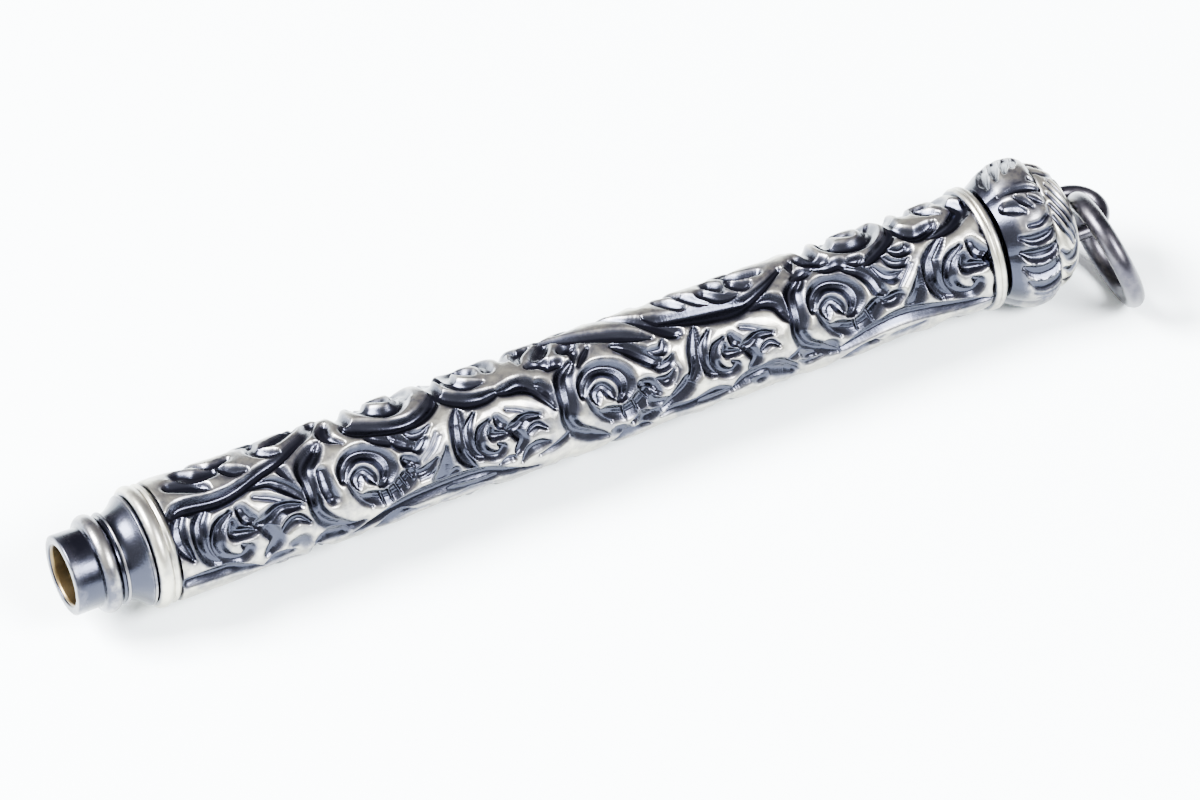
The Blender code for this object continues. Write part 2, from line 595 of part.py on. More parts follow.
def build():
    clear_scene()
    finishes = {
        "silver": material("chased_silver", (0.62, 0.60, 0.57), 0.28, 1.0),
        "grey": material("plain_silver", (0.42, 0.40, 0.42), 0.35, 1.0),
        "brass": material("brass", (0.62, 0.46, 0.22), 0.32, 1.0),
        "bronze": material("spring_bronze", (0.50, 0.30, 0.15), 0.35, 1.0),
        "steel": material("needle_steel", (0.55, 0.56, 0.58), 0.20, 1.0),
        "cork": material("cork", (0.50, 0.33, 0.18), 0.90, 0.0),
    }
    axis = empty("case_axis", AXIS_AT)
    head = empty("head_slide", (0.0, 0.0, 0.0), axis)
    carrier = empty("carrier_slide", (0.0, 0.0, 0.0), axis)
    make_case(axis, finishes)
    make_head(head, finishes)
    make_ring(head, finishes)
    make_carrier(carrier, finishes)
    make_follower(carrier, finishes)


build()
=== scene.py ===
"""Looks of a silver slide-action needle case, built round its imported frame.

The chased sleeve, the turned nozzle and its beads, the lobed head, its shell-like boss, the eye and the ring
are worked out here as fine surfaces in place of their plain solids.  Lengths in the tables are in
millimetres: stations run from the nozzle's mouth, and distances round the case are taken on a 4 mm radius,
from the top towards the viewer's side.
"""
import json
import math

import bpy
import numpy as np
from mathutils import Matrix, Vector


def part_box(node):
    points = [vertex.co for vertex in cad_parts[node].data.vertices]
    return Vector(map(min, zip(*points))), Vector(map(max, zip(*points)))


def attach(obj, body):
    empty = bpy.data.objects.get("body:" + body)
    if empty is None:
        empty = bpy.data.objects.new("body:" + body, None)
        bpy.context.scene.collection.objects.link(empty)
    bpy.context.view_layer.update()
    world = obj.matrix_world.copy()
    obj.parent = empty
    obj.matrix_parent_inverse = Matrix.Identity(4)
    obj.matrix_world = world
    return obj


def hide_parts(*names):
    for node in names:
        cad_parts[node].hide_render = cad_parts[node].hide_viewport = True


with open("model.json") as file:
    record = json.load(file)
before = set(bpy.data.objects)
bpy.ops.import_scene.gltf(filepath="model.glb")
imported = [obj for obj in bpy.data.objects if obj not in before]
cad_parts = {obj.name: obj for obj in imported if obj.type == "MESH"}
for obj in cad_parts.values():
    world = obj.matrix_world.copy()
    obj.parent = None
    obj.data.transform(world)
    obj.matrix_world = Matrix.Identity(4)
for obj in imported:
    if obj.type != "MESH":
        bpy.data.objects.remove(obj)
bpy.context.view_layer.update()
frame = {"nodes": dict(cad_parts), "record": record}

MM = 0.001

# ---------------------------------------------------------------- measures taken from the frame
mouth_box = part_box("nozzle")
MOUTH = mouth_box[0][0]
AXIS_Y = (mouth_box[0][1] + mouth_box[1][1]) / 2.0
AXIS_Z = (mouth_box[0][2] + mouth_box[1][2]) / 2.0


def stations(node):
    """First and last station of a node, in millimetres from the mouth."""
    low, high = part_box(node)
    return (low[0] - MOUTH) / MM, (high[0] - MOUTH) / MM


def widest(node):
    """Largest radius of a turned node, in millimetres."""
    low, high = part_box(node)
    return (high[1] - low[1]) / 2.0 / MM


# ---------------------------------------------------------------- the chaser's drawing
UNROLLED_RADIUS = 4.0
GIRTH = 2.0 * math.pi * UNROLLED_RADIUS
# Great volute, from its eye: the spiral hollow, the eye, the shoulder line, and the hollow underneath.
VOLUTE = [
    (1, [(-1.75, -0.1, 0.45), (-1.45, -0.8, 0.85), (-0.75, -1.4, 0.95), (0.1, -1.4, 1.05),
          (0.95, -0.85, 1.2), (1.3, 0, 1.2), (1.05, 0.8, 0.85), (0.55, 1.1, 0.3)]),
    (0.95, [(-0.95, 0.75, 0.3), (-0.9, 0.1, 0.75), (-0.35, -0.2, 0.6), (0.05, 0.3, 0.6), (0.25, 0.8, 0.25)]),
    (0.7, [(-1.55, 0.2, 0.2), (-1.3, 0.95, 0.35), (-0.8, 1.75, 0.4), (-0.25, 2.4, 0.2)]),
    (1, [(-0.9, 1.35, 0.2), (-0.2, 1.75, 0.8), (0.7, 2.1, 1.1), (1.6, 1.9, 1.3), (2.4, 1.3, 1.2),
          (2.9, 0.9, 0.6)]),
]
# The long gouge that sweeps round the first great volute, with the hollow beside it.
S_GOUGE = [
    (1, [(-2.3, -3.3, 0.25), (-3.1, -2.6, 1.2), (-3.9, -1.75, 1.25), (-4.0, -0.6, 0.95),
          (-3.94, 0.5, 0.9), (-3.87, 1.4, 0.85), (-3.4, 2.3, 1), (-2.6, 3.1, 0.9), (-1.7, 3.6, 0.6),
          (-0.9, 3.5, 0.3)]),
    (0.8, [(-2.95, -1.1, 0.6), (-2.95, 0, 0.95), (-2.75, 0.8, 0.8)]),
]
# The same, closer in, as it sweeps round the other two.
NEAR_GOUGE = [
    (1, [(-1.7, -2.5, 0.4), (-2.5, -1.8, 1.1), (-2.8, -0.8, 1.25), (-2.9, 0.3, 1.15), (-3.05, 1.2, 0.9),
          (-2.65, 2.2, 0.95), (-1.9, 2.85, 1), (-1.1, 3.4, 0.7), (-0.4, 3.85, 0.3)]),
]
# A ring of the upper row, from its middle: inner ring, outer band, and eye.
FAR_RING = [
    (0.95, [(-1.5, 0.7, 0.7), (-1.35, -1, 0.75), (-0.3, -2.0, 0.8), (1.0, -1.7, 0.75), (1.55, -0.3, 0.7),
            (1.5, 0.9, 0.7)]),
    (1, [(-0.6, -0.8, 0.3), (-0.1, -0.1, 0.8), (0.3, 0.7, 0.4)]),
    (1, [(-3.0, 1.6, 0.6), (-3.1, -0.6, 0.85), (-2.2, -2.7, 0.9), (-0.2, -3.6, 0.9), (1.9, -2.9, 0.85),
         (3.0, -1.1, 0.7),
         (3.1, 0.4, 0.5)]),
]
# The pointed pocket between two scrolls.
WEDGE = [
    (0.95, [(5.49, 0.09, 0.06), (5.03, 1.59, 1), (4.79, 2.17, 1.43)]),
    (0.9, [(4.14, 2.46, 0.14), (4.86, 2.43, 0.49), (5.71, 2.02, 0.57)]),
]
# The same, broader.
BROAD_WEDGE = [
    (0.95, [(6.15, -0.4, 0.05), (5.7, 1.1, 0.9), (5.2, 1.9, 1.3)]),
    (0.9, [(4.4, 2, 0.1), (5.2, 2.05, 0.4), (5.8, 1.7, 0.3)]),
]
# Three leaf fans beside the great volutes, each from its volute's eye.
FAN_A = [
    (0.85, [(0.79, -2.38, 0.45), (1.36, -1.95, 0.8), (1.93, -1.59, 0.71)]),
    (0.8, [(2.14, -1.73, 0.54), (2.64, -1.23, 1.07), (3.21, -0.79, 0.71)]),
    (0.8, [(3.07, -1.88, 0.21), (3.5, -1.37, 0.58), (4.14, -1.3, 0.54), (4.86, -1.66, 0.14)]),
    (0.85, [(3.21, -0.65, 0.29), (3.64, -0.43, 0.61), (4.14, -0.79, 0.54), (4.36, -1.08, 0.14)]),
    (1, [(2.57, 0, 0.54), (2.93, 0.36, 0.89), (3.07, 0.65, 0.54)]),
    (0.85, [(2.71, 0.79, 0.36), (3.29, 1.23, 0.61), (3.93, 1.16, 0.64), (4.64, 0.65, 0.18)]),
    (0.5, [(3.57, 0.36, 0.14), (4.29, -0.14, 0.18), (5.07, -1.01, 0.12)]),
    (0.5, [(3.74, 0.55, 0.14), (4.57, -0.03, 0.18), (5.17, -0.72, 0.12)]),
    (0.6, [(3.29, 1.73, 0.18), (4.14, 1.52, 0.46), (4.57, 1.23, 0.14)]),
]
# Second fan.
FAN_B = [
    (0.95, [(1.36, -2.67, 0.36), (2.14, -2.17, 0.93), (2.86, -1.37, 1), (3.57, -0.65, 0.89),
          (3.86, -0.43, 0.36)]),
    (0.85, [(3.21, -1.45, 0.25), (3.79, -1.23, 0.61), (4.36, -1.23, 0.64), (4.64, -1.81, 0.25)]),
    (0.85, [(3.36, -0.43, 0.29), (3.86, -0.14, 0.61), (4.5, -0.22, 0.61), (4.89, -0.65, 0.18)]),
    (1, [(2.29, 0.58, 0.54), (2.86, 0.87, 1), (3.21, 1.45, 0.54)]),
    (0.8, [(3.43, 0.65, 0.36), (4.14, 0.87, 0.64), (4.71, 0.36, 0.21)]),
    (0.9, [(2.57, 1.66, 0.54), (3.07, 2.24, 0.64), (4, 2.38, 0.46), (4.71, 1.73, 0.14)]),
    (0.5, [(4.93, 0, 0.14), (5.03, 0.58, 0.18), (4.57, 1.3, 0.14)]),
]
# Third fan.
FAN_C = [
    (0.95, [(1.14, -2.17, 0.35), (2.14, -1.59, 0.92), (2.79, -0.72, 1.03), (3.07, 0.14, 0.92),
          (3.43, 0.65, 0.35)]),
    (0.9, [(3.17, -1.45, 0.28), (3.57, -0.72, 0.59), (4.21, -0.36, 0.68), (4.93, -0.51, 0.2)]),
    (0.9, [(4.03, -1.95, 0.28), (4.5, -1.3, 0.61), (5.14, -1.08, 0.61), (5.64, -1.23, 0.17)]),
    (0.9, [(4.64, -2.31, 0.24), (5.14, -1.88, 0.68), (5.71, -1.88, 0.68), (5.89, -2.24, 0.17)]),
    (0.6, [(4.29, 0.65, 0.13), (4.93, -0.07, 0.24), (5.64, -0.79, 0.13)]),
    (0.8, [(3.21, 1.08, 0.68), (3.79, 1.08, 0.96), (4.29, 0.98, 0.68)]),
]
# Small scroll and its leaves, from its eye.
SMALL_SCROLL = [
    (1, [(-0.29, -1.92, 0.36), (-1.26, -1.21, 0.86), (-1.7, 0, 0.95), (-1.2, 1.11, 0.83),
          (-0.2, 1.56, 0.71), (0.4, 1.01, 0.64), (0, 0.49, 0.21)]),
    (0.9, [(-0.29, -1.3, 0.43), (-0.34, -0.55, 0.86), (0.43, -0.32, 0.67), (1.14, -0.14, 0.24)]),
    (0.9, [(0.46, -1.88, 0.58), (0.74, -1.16, 0.93), (1.2, -0.9, 0.43)]),
    (0.6, [(1.6, -2.38, 0.31), (2.7, -1.88, 0.36), (3.7, -1.27, 0.36), (4.5, -0.95, 0.21)]),
    (0.95, [(1.3, -0.51, 0.76), (2.1, -0.51, 1.38), (3.1, -1.01, 0.95), (4.29, -0.81, 0.43)]),
    (0.95, [(1.94, 0, 1.07), (2.4, 0.91, 1.01), (2, 1.72, 0.86), (1.64, 2.17, 0.31)]),
    (0.9, [(2.6, 0.91, 0.31), (3.3, 0.2, 0.58), (4, 0, 0.55), (4.7, 0.55, 0.24)]),
    (1, [(-1.4, -3.03, 0.21), (-2.46, -1.88, 0.86), (-2.6, -0.4, 0.95), (-2.14, 0.87, 0.74),
          (-1.3, 1.45, 0.15)]),
]
# Bright flutes left standing across the hollow.
FLUTES_A = [
    (0.45, [(0.43, 1.62, 0.17), (0.64, 2.77, 0.17)]),
    (0.45, [(1, 1.52, 0.17), (1.26, 2.63, 0.17)]),
    (0.45, [(1.5, 1.33, 0.17), (1.89, 2.43, 0.17)]),
    (0.45, [(1.93, 0.95, 0.17), (2.36, 2.02, 0.17)]),
    (0.45, [(2.26, 0.52, 0.17), (2.83, 1.56, 0.17)]),
]
# Second set.
FLUTES_B = [
    (0.45, [(0.71, 1.62, 0.17), (0.86, 2.75, 0.17)]),
    (0.45, [(1.43, 1.37, 0.17), (1.79, 2.53, 0.17)]),
    (0.45, [(2, 0.87, 0.17), (2.57, 1.81, 0.17)]),
]
# Third set.
FLUTES_C = [
    (0.45, [(0.86, 1.45, 0.2), (1.07, 2.53, 0.2)]),
    (0.45, [(1.79, 1.23, 0.2), (2.14, 2.17, 0.2)]),
]
# Sprays, ribbons and borders over the first third of the sleeve: station, distance round, width.
FRONT_LEAVES = [
    (1, [(7.14, 1.56, 0.58), (8, 1.34, 1.08), (10.14, 1.59, 1), (11.71, 1.39, 0.77),
          (13.71, 0.69, 0.77), (15.14, 0.23, 0.66), (16.57, -0.61, 0.66), (17.71, -1.33, 0.66),
          (18.5, -2.63, 0.58)]),
    (0.9, [(12, 1.49, 0.27), (13.71, 1.56, 0.58), (14.57, 2.07, 0.89), (15.29, 2.86, 0.69),
          (15.71, 3.58, 0.15)]),
    (0.6, [(14.79, 0.4, 0.19), (14.97, 1.27, 0.58), (15.36, 2.14, 0.23)]),
    (1, [(20, -0.61, 0.31), (20.57, -0.1, 1.35), (21.71, 0.48, 1.16), (23, 0.91, 0.96), (24.14, 0.98, 0.85),
          (25.14, 0.69, 0.96), (26, 0.04, 0.85), (26.43, -0.75, 0.31)]),
    (1, [(21.71, -2.63, 0.77), (22.07, -1.47, 0.93), (23, -0.68, 1.08), (24, -0.82, 0.96),
          (24.57, -1.76, 0.96), (24.71, -3.06, 0.77)]),
    (0.9, [(27.64, -2.34, 0.58), (27.93, -1.18, 0.85), (28.57, -0.39, 0.77), (29.71, -0.14, 0.19)]),
    (0.9, [(19, -1.47, 0.39), (18.64, -0.75, 0.77), (18.71, -0.03, 0.58), (19.43, 0.72, 0.19)]),
    (0.9, [(26.43, -0.9, 0.39), (26.86, -0.03, 0.89), (28, 0.84, 1.08), (29.14, 1.1, 0.89),
          (30.29, 0.98, 0.39)]),
    (0.9, [(14.21, -2.63, 0.46), (14.07, -1.47, 0.77), (14.71, -0.68, 0.77), (15.57, -0.43, 0.19)]),
    (0.8, [(14.71, -1.62, 0.19), (15.71, -1.76, 0.77), (17.14, -2.63, 0.58)]),
    (0.9, [(8, -0.75, 0.96), (9.14, -0.25, 1.16), (9.86, 0.29, 0.58), (10.14, 0.55, 0.19)]),
    (0.7, [(8.86, -1.76, 0.96), (9.57, -0.9, 1.16), (10.86, -0.75, 0.77)]),
    (0.8, [(11.43, -0.9, 0.39), (12, -0.17, 0.77), (12.86, 0.12, 0.31)]),
    (0.8, [(10.43, -2.05, 0.39), (11.14, -1.47, 0.58), (12.29, -1.62, 0.39)]),
    (1, [(7.14, 6.62, 0.77), (8.86, 6.71, 1.08), (10.29, 6.91, 0.77), (11.57, 7.56, 0.5),
          (12.43, 8.06, 0.15)]),
    (0.8, [(12.57, 7.85, 0.31), (13.43, 7.31, 0.77), (14.43, 7.23, 0.31)]),
    (0.5, [(14.5, 6.47, 0.58), (15.14, 6.47, 0.85), (15.43, 7.2, 0.39)]),
    (0.9, [(16.21, 7.49, 0.39), (16.86, 6.91, 1.08), (17.86, 7.12, 0.96), (18.29, 7.49, 0.19)]),
    (1, [(18.86, 7.77, 0.19), (20.57, 7.12, 0.77), (22.57, 6.47, 1.2), (24.43, 6.26, 1.27),
          (26.57, 6.21, 1.2), (28.29, 6.47, 0.85), (30, 7.2, 0.5), (32, 7.85, 0.19)]),
    (0.5, [(22, 8.21, 0.19), (22.86, 7.85, 0.35), (24, 7.7, 0.19)]),
    (0.5, [(25.14, 7.85, 0.19), (26.86, 7.66, 0.35), (28.71, 7.8, 0.19)]),
    (0.9, [(29.14, 6.04, 0.19), (29.71, 5.82, 0.39), (30.07, 5.9, 0.39)]),
]
# The same over the middle third.
MIDDLE_LEAVES = [
    (1, [(30, 1.05, 0.23), (30.86, 1.1, 0.77), (31.86, 1.13, 1.16), (32.57, 1.71, 0.77),
          (33, 2.57, 0.42), (33.5, 3.44, 0.15)]),
    (0.8, [(32.71, 1.49, 0.58), (33.11, 1.85, 0.96), (33.43, 2.57, 0.46), (33.54, 3.29, 0.15)]),
    (0.9, [(32.57, -0.68, 0.27), (32.71, -1.47, 0.58), (33.29, -2.05, 0.58), (33.93, -2.23, 0.19)]),
    (0.9, [(33.5, -0.39, 0.31), (34.14, -0.9, 0.89), (34.64, -1.55, 0.77), (34.79, -1.84, 0.27)]),
    (1, [(33, -0.1, 0.46), (33.71, -0.06, 0.85), (34.07, 0.4, 0.58)]),
    (0.9, [(34.07, 0.62, 0.46), (34.71, 0.48, 0.69), (35, 0.69, 0.27)]),
    (1, [(35.5, -0.39, 0.5), (35.93, -0.53, 1.08), (36.29, -0.61, 0.58)]),
    (0.9, [(36, -0.17, 0.58), (36.07, 0.26, 0.46), (35.79, 0.84, 0.19)]),
    (0.85, [(34.71, -2.49, 0.46), (36.43, -1.4, 0.85), (38.14, -0.53, 0.93), (39.86, 0.33, 0.85),
          (41.29, 1.1, 0.19)]),
    (0.95, [(38.86, -3.06, 0.39), (40.29, -1.47, 0.42), (41.57, -0.1, 0.96), (42.57, 0.98, 1.16),
          (43.21, 1.49, 0.31)]),
    (1, [(41.64, -0.82, 0.27), (42.29, -0.1, 0.85), (43.71, 0.38, 1.27), (45.43, 0.77, 1.62),
          (47.14, 1.01, 1.62), (48.43, 0.91, 0.85), (50, 0.19, 0.46), (51.43, -0.75, 0.31)]),
    (0.9, [(43, -2.05, 0.31), (43.57, -1.33, 0.85), (44, -0.75, 0.77), (44.36, -0.35, 0.19)]),
    (0.9, [(44.43, -2.34, 0.31), (44.86, -1.33, 0.77), (45.29, -0.53, 0.69), (45.86, -0.03, 0.15)]),
    (0.9, [(46, -1.04, 0.66), (46.57, -0.25, 0.85), (47.29, 0.09, 0.58), (48, 0.12, 0.15)]),
    (0.9, [(48, -1.76, 0.27), (48, -1.04, 0.58), (48.57, -0.46, 0.85), (49.14, -0.53, 0.31)]),
    (0.8, [(46.71, -1.91, 0.77), (47.07, -1.33, 0.77), (47.29, -0.61, 0.27)]),
    (0.9, [(48, -2.63, 0.58), (48.86, -1.76, 0.96), (50, -1.33, 0.58)]),
    (0.8, [(37.14, 0.12, 0.19), (36.57, 0.69, 0.39), (36, 1.27, 0.19)]),
    (0.55, [(27.14, 6.18, 0.19), (28.57, 6.62, 0.31), (30.14, 7.27, 0.35), (32, 7.75, 0.15)]),
    (0.9, [(30.71, 6.59, 0.15), (31.21, 5.82, 0.58), (31.86, 5.58, 0.66), (32.64, 5.64, 0.23)]),
    (0.9, [(37.21, 6.69, 0.27), (37.79, 6.98, 0.85), (38.71, 7.6, 0.19)]),
    (1, [(38.71, 6.62, 0.39), (39.29, 6.11, 0.39), (39.71, 6.62, 1.16), (40.57, 6.4, 0.39)]),
    (1, [(40.64, 6.47, 0.19), (41.57, 5.97, 0.85), (42.57, 5.17, 1.16), (42.97, 4.38, 0.19)]),
    (0.9, [(40.71, 7.05, 0.19), (41.71, 6.79, 0.58), (43.14, 6.94, 0.77), (44.57, 6.62, 0.96),
          (45.86, 6.84, 0.19)]),
    (1, [(45.86, 6.79, 0.19), (46.86, 6.26, 0.85), (48, 6.16, 0.85), (49.14, 6.18, 1.08),
          (50.29, 6.91, 0.58)]),
    (0.9, [(47.29, 6.84, 0.19), (48, 7.05, 0.58), (48.57, 6.62, 0.39)]),
]
# The same over the rear third.
REAR_LEAVES = [
    (0.9, [(48.29, 1.59, 0.23), (49.21, 1.39, 0.85), (50.07, 1.78, 1.08), (50.36, 2.57, 0.77),
          (50.54, 3.37, 0.15)]),
    (1, [(52.93, -1.18, 0.46), (53.36, -0.68, 1.16), (54, -0.25, 0.96), (54.57, 0.04, 0.19)]),
    (1, [(51.79, 0.48, 0.27), (52.57, 0.33, 0.77), (53.31, 0.14, 0.19)]),
    (0.8, [(52, -0.1, 0.19), (52.14, -0.75, 0.46), (52.43, -1.18, 0.27)]),
    (0.85, [(53.36, 0.29, 0.27), (54.29, 0.62, 0.66), (55.14, 0.62, 0.77), (55.43, 1.13, 0.27)]),
    (0.9, [(55.71, 0.69, 0.27), (56.36, 0.91, 0.77), (56.79, 0.77, 0.19)]),
    (1, [(56.5, 1.45, 0.15), (57.43, 0.98, 0.66), (58.57, 0.33, 0.77), (59.36, -0.39, 0.58),
          (59.57, -1.33, 0.27)]),
    (1, [(55, -1.76, 0.46), (55.57, -1.04, 0.96), (56.57, -0.53, 1.08), (57.71, -0.68, 1.08),
          (58.43, -1.62, 0.96), (58.57, -2.92, 0.77)]),
    (1, [(59.71, -1.04, 0.46), (60.07, -0.17, 0.85), (60.86, 0.48, 1.08), (61.86, 0.29, 0.85),
          (62.43, -0.03, 0.19)]),
    (0.9, [(62.07, -2.34, 0.27), (62.29, -1.47, 0.77), (63.14, -0.68, 0.15)]),
    (1, [(63.64, -2.34, 0.27), (64.21, -1.33, 0.69), (64.43, -0.32, 0.96), (63.57, 0.55, 0.85),
          (62.57, 0.95, 0.58), (61.43, 1.05, 0.15)]),
    (0.9, [(64.43, 0.48, 0.19), (64.64, -0.1, 0.66), (65.07, -1.04, 0.27)]),
    (1, [(53, 6.98, 0.15), (54.86, 6.47, 0.69), (56.86, 5.92, 1.04), (58.57, 5.75, 1.16),
          (60.29, 6.11, 0.89), (62, 6.55, 0.77), (63.86, 6.98, 0.5), (64.86, 7.2, 0.15)]),
    (0.5, [(55.29, 7.37, 0.15), (56.14, 7.17, 0.27), (56.86, 6.98, 0.12)]),
    (0.5, [(57.64, 7.31, 0.27), (58.71, 7.27, 0.39), (60, 7.08, 0.15)]),
    (1, [(45.71, 7.12, 0.19), (46.86, 6.47, 0.85), (48.29, 6.21, 0.96), (49.29, 6.62, 1.16),
          (50.29, 7.34, 0.58)]),
    (0.85, [(50.93, 5.82, 0.39), (51.57, 6.3, 0.69), (52.64, 5.97, 0.31)]),
    (0.8, [(50.71, 6.47, 0.15), (51.43, 6.94, 0.39), (52.43, 6.84, 0.15)]),
    (0.9, [(52.71, 5.75, 0.39), (53.14, 6.11, 0.69), (53.54, 6.5, 0.15)]),
]
# Gouges that fill the open ground beside the small scrolls, by station and distance round.
GROUND_GOUGES = [
    (1.0, [(27.3, 1.2, 0.3), (26.9, 2.5, 1.0), (26.7, 4.3, 0.9), (27.4, 5.6, 0.3)]),
    (1.0, [(44.2, 1.5, 0.3), (43.7, 2.9, 0.9), (43.4, 4.3, 0.8), (42.6, 5.3, 0.4)]),
    (1.0, [(62.3, 1.4, 0.3), (61.0, 2.6, 1.0), (60.7, 4.0, 0.9), (61.3, 5.5, 0.4)]),
    (1.0, [(7.9, 1.4, 0.3), (7.2, 2.4, 0.9), (7.1, 3.6, 0.9), (7.6, 4.9, 0.3)]),
    (0.8, [(24.6, 6.3, 0.2), (26.0, 6.9, 0.5), (27.8, 7.2, 0.5), (29.6, 7.0, 0.2)]),
    (0.8, [(41.2, 6.3, 0.2), (42.6, 6.9, 0.5), (44.4, 7.2, 0.5), (46.4, 6.9, 0.2)]),
    (0.8, [(32.0, 6.5, 0.2), (33.4, 6.0, 0.45), (34.4, 5.2, 0.3)]),
    (0.8, [(48.8, 6.5, 0.2), (50.2, 6.0, 0.45), (51.2, 5.2, 0.3)]),
]

# Eyes of the scrolls that face the viewer: (station, distance round), and the small ones' scale.
GREAT_EYES = ((20.3, 3.28), (37.3, 3.35), (54.0, 3.15))
SMALL_EYES = (((11.0, 4.6), 1.0), ((29.2, 4.1), 0.72), ((46.0, 4.2), 0.72), ((63.6, 4.3), 1.0))
# Small scrolls along the strip behind the crest: (station, distance round), flipped or not.
CREST_SCROLLS = (((12.0, 20.0), True), ((17.6, 20.2), False), ((34.6, 20.0), True), ((40.4, 20.3), False),
                 ((46.2, 20.0), True), ((51.4, 20.2), False))
# Rows of great scrolls on the far side and underneath: distance round, flipped or not, shift along.
BACK_ROWS = ((10.9, True, 3.5), (17.3, False, -4.5))
# Middles of the rings of the upper row, and their scale.
FAR_EYES = (((23.35, -2.6), 1.0), ((29.3, -1.9), 0.85), ((56.9, -2.5), 1.0), ((62.6, -2.7), 0.9))

# Veins of the head's viewer side, and one leaf for the other sides.
HEAD_VEINS = [
    (1.0, [(67.2, 3.2, 0.15), (68.0, 3.5, 0.5), (69.0, 3.45, 0.5), (69.6, 3.15, 0.15)]),
    (1.0, [(67.1, 4.15, 0.2), (67.9, 4.5, 0.7), (69.0, 4.5, 0.7), (69.6, 4.1, 0.2)]),
    (1.0, [(67.1, 5.15, 0.25), (67.9, 5.5, 0.8), (69.0, 5.45, 0.8), (69.6, 5.1, 0.3)]),
    (1.0, [(67.3, 6.1, 0.2), (68.1, 6.45, 0.7), (69.1, 6.4, 0.7), (69.7, 6.05, 0.25)]),
    (0.9, [(67.7, 7.05, 0.12), (68.5, 7.3, 0.36), (69.2, 7.2, 0.36), (69.8, 6.85, 0.1)]),
    (0.9, [(68.0, 7.6, 0.1), (68.7, 7.85, 0.32), (69.4, 7.7, 0.3), (69.8, 7.4, 0.1)]),
    (0.8, [(68.3, 8.15, 0.1), (68.9, 8.3, 0.25), (69.5, 8.2, 0.1)]),
    (1.0, [(67.1, 0.2, 0.1), (68.0, 0.35, 0.36), (69.1, 0.65, 0.4), (70.1, 0.95, 0.14)]),
    (0.8, [(67.1, 1.2, 0.5), (67.6, 1.5, 0.6), (68.0, 1.9, 0.2)]),
    (0.8, [(67.9, 0.9, 0.15), (68.2, 1.3, 0.45), (68.6, 1.75, 0.12)]),
    (0.8, [(68.7, 1.15, 0.1), (69.0, 1.45, 0.3), (69.4, 1.7, 0.1)]),
    (0.9, [(67.9, 2.7, 0.1), (68.7, 2.75, 0.22), (69.4, 2.45, 0.1)]),
    (1.0, [(66.9, -0.9, 0.12), (67.1, -1.7, 0.5), (67.6, -2.7, 0.5), (67.9, -3.4, 0.12)]),
    (1.0, [(67.6, -0.9, 0.12), (67.9, -1.7, 0.5), (68.3, -2.5, 0.5), (68.6, -3.2, 0.12)]),
    (1.0, [(68.3, -1.0, 0.12), (68.7, -1.7, 0.46), (69.1, -2.4, 0.46), (69.3, -3.0, 0.12)]),
    (0.9, [(69.0, -1.2, 0.12), (69.4, -1.8, 0.36), (69.8, -2.5, 0.12)]),
    (0.6, [(69.5, -0.1, 0.25), (69.7, 0.1, 0.2)]),
    (0.6, [(70.0, -0.6, 0.22), (70.15, -0.3, 0.2)]),
    (0.6, [(69.9, 0.2, 0.2), (70.05, 0.35, 0.2)]),
    (0.6, [(70.2, 1.3, 0.18), (70.3, 1.5, 0.16)]),
]
HEAD_LEAF = [
    (1.0, [(67.1, -1.8, 0.15), (68.0, -1.5, 0.55), (69.1, -1.5, 0.55), (70.1, -1.8, 0.15)]),
    (1.0, [(67.2, -0.7, 0.2), (68.1, -0.4, 0.7), (69.2, -0.45, 0.7), (70.2, -0.8, 0.15)]),
    (1.0, [(67.4, 0.45, 0.2), (68.3, 0.75, 0.66), (69.3, 0.7, 0.6), (70.2, 0.3, 0.15)]),
    (0.9, [(67.9, 1.5, 0.12), (68.7, 1.75, 0.4), (69.6, 1.65, 0.4), (70.3, 1.25, 0.12)]),
]
# Flutes of the boss: (distance from the groove over the dome, distance round, width).
BOSS_FLUTES = [
    (1.0, [(1.6, -0.2, 0.1), (2.2, 0.6, 0.2), (2.9, 1.6, 0.2), (3.3, 2.6, 0.08)]),
    (1.0, [(1.0, 0.1, 0.1), (1.5, 0.9, 0.22), (2.2, 2.0, 0.24), (2.8, 3.1, 0.2), (2.9, 3.9, 0.08)]),
    (1.0, [(0.6, 0.4, 0.1), (1.1, 1.3, 0.22), (1.8, 2.5, 0.26), (2.3, 3.6, 0.2), (2.3, 4.3, 0.08)]),
    (1.0, [(0.45, 1.1, 0.1), (0.85, 1.9, 0.22), (1.4, 2.9, 0.26), (1.85, 3.9, 0.2), (1.9, 4.5, 0.08)]),
    (1.0, [(0.35, 1.8, 0.1), (0.65, 2.4, 0.2), (1.1, 3.3, 0.24), (1.5, 4.1, 0.2), (1.6, 4.6, 0.08)]),
    (1.0, [(0.3, 2.6, 0.1), (0.5, 3.1, 0.2), (0.8, 3.7, 0.22), (1.15, 4.3, 0.2), (1.3, 4.8, 0.08)]),
    (1.0, [(0.35, 4.9, 0.2), (0.8, 5.5, 0.5), (1.4, 5.6, 0.6), (1.9, 5.1, 0.5), (2.1, 4.6, 0.15)]),
    (1.0, [(0.4, 6.3, 0.2), (1.1, 6.8, 0.5), (1.9, 6.6, 0.5), (2.5, 5.9, 0.2)]),
    (0.9, [(0.4, 7.5, 0.15), (1.1, 7.9, 0.4), (1.9, 7.7, 0.3), (2.4, 7.2, 0.1)]),
]

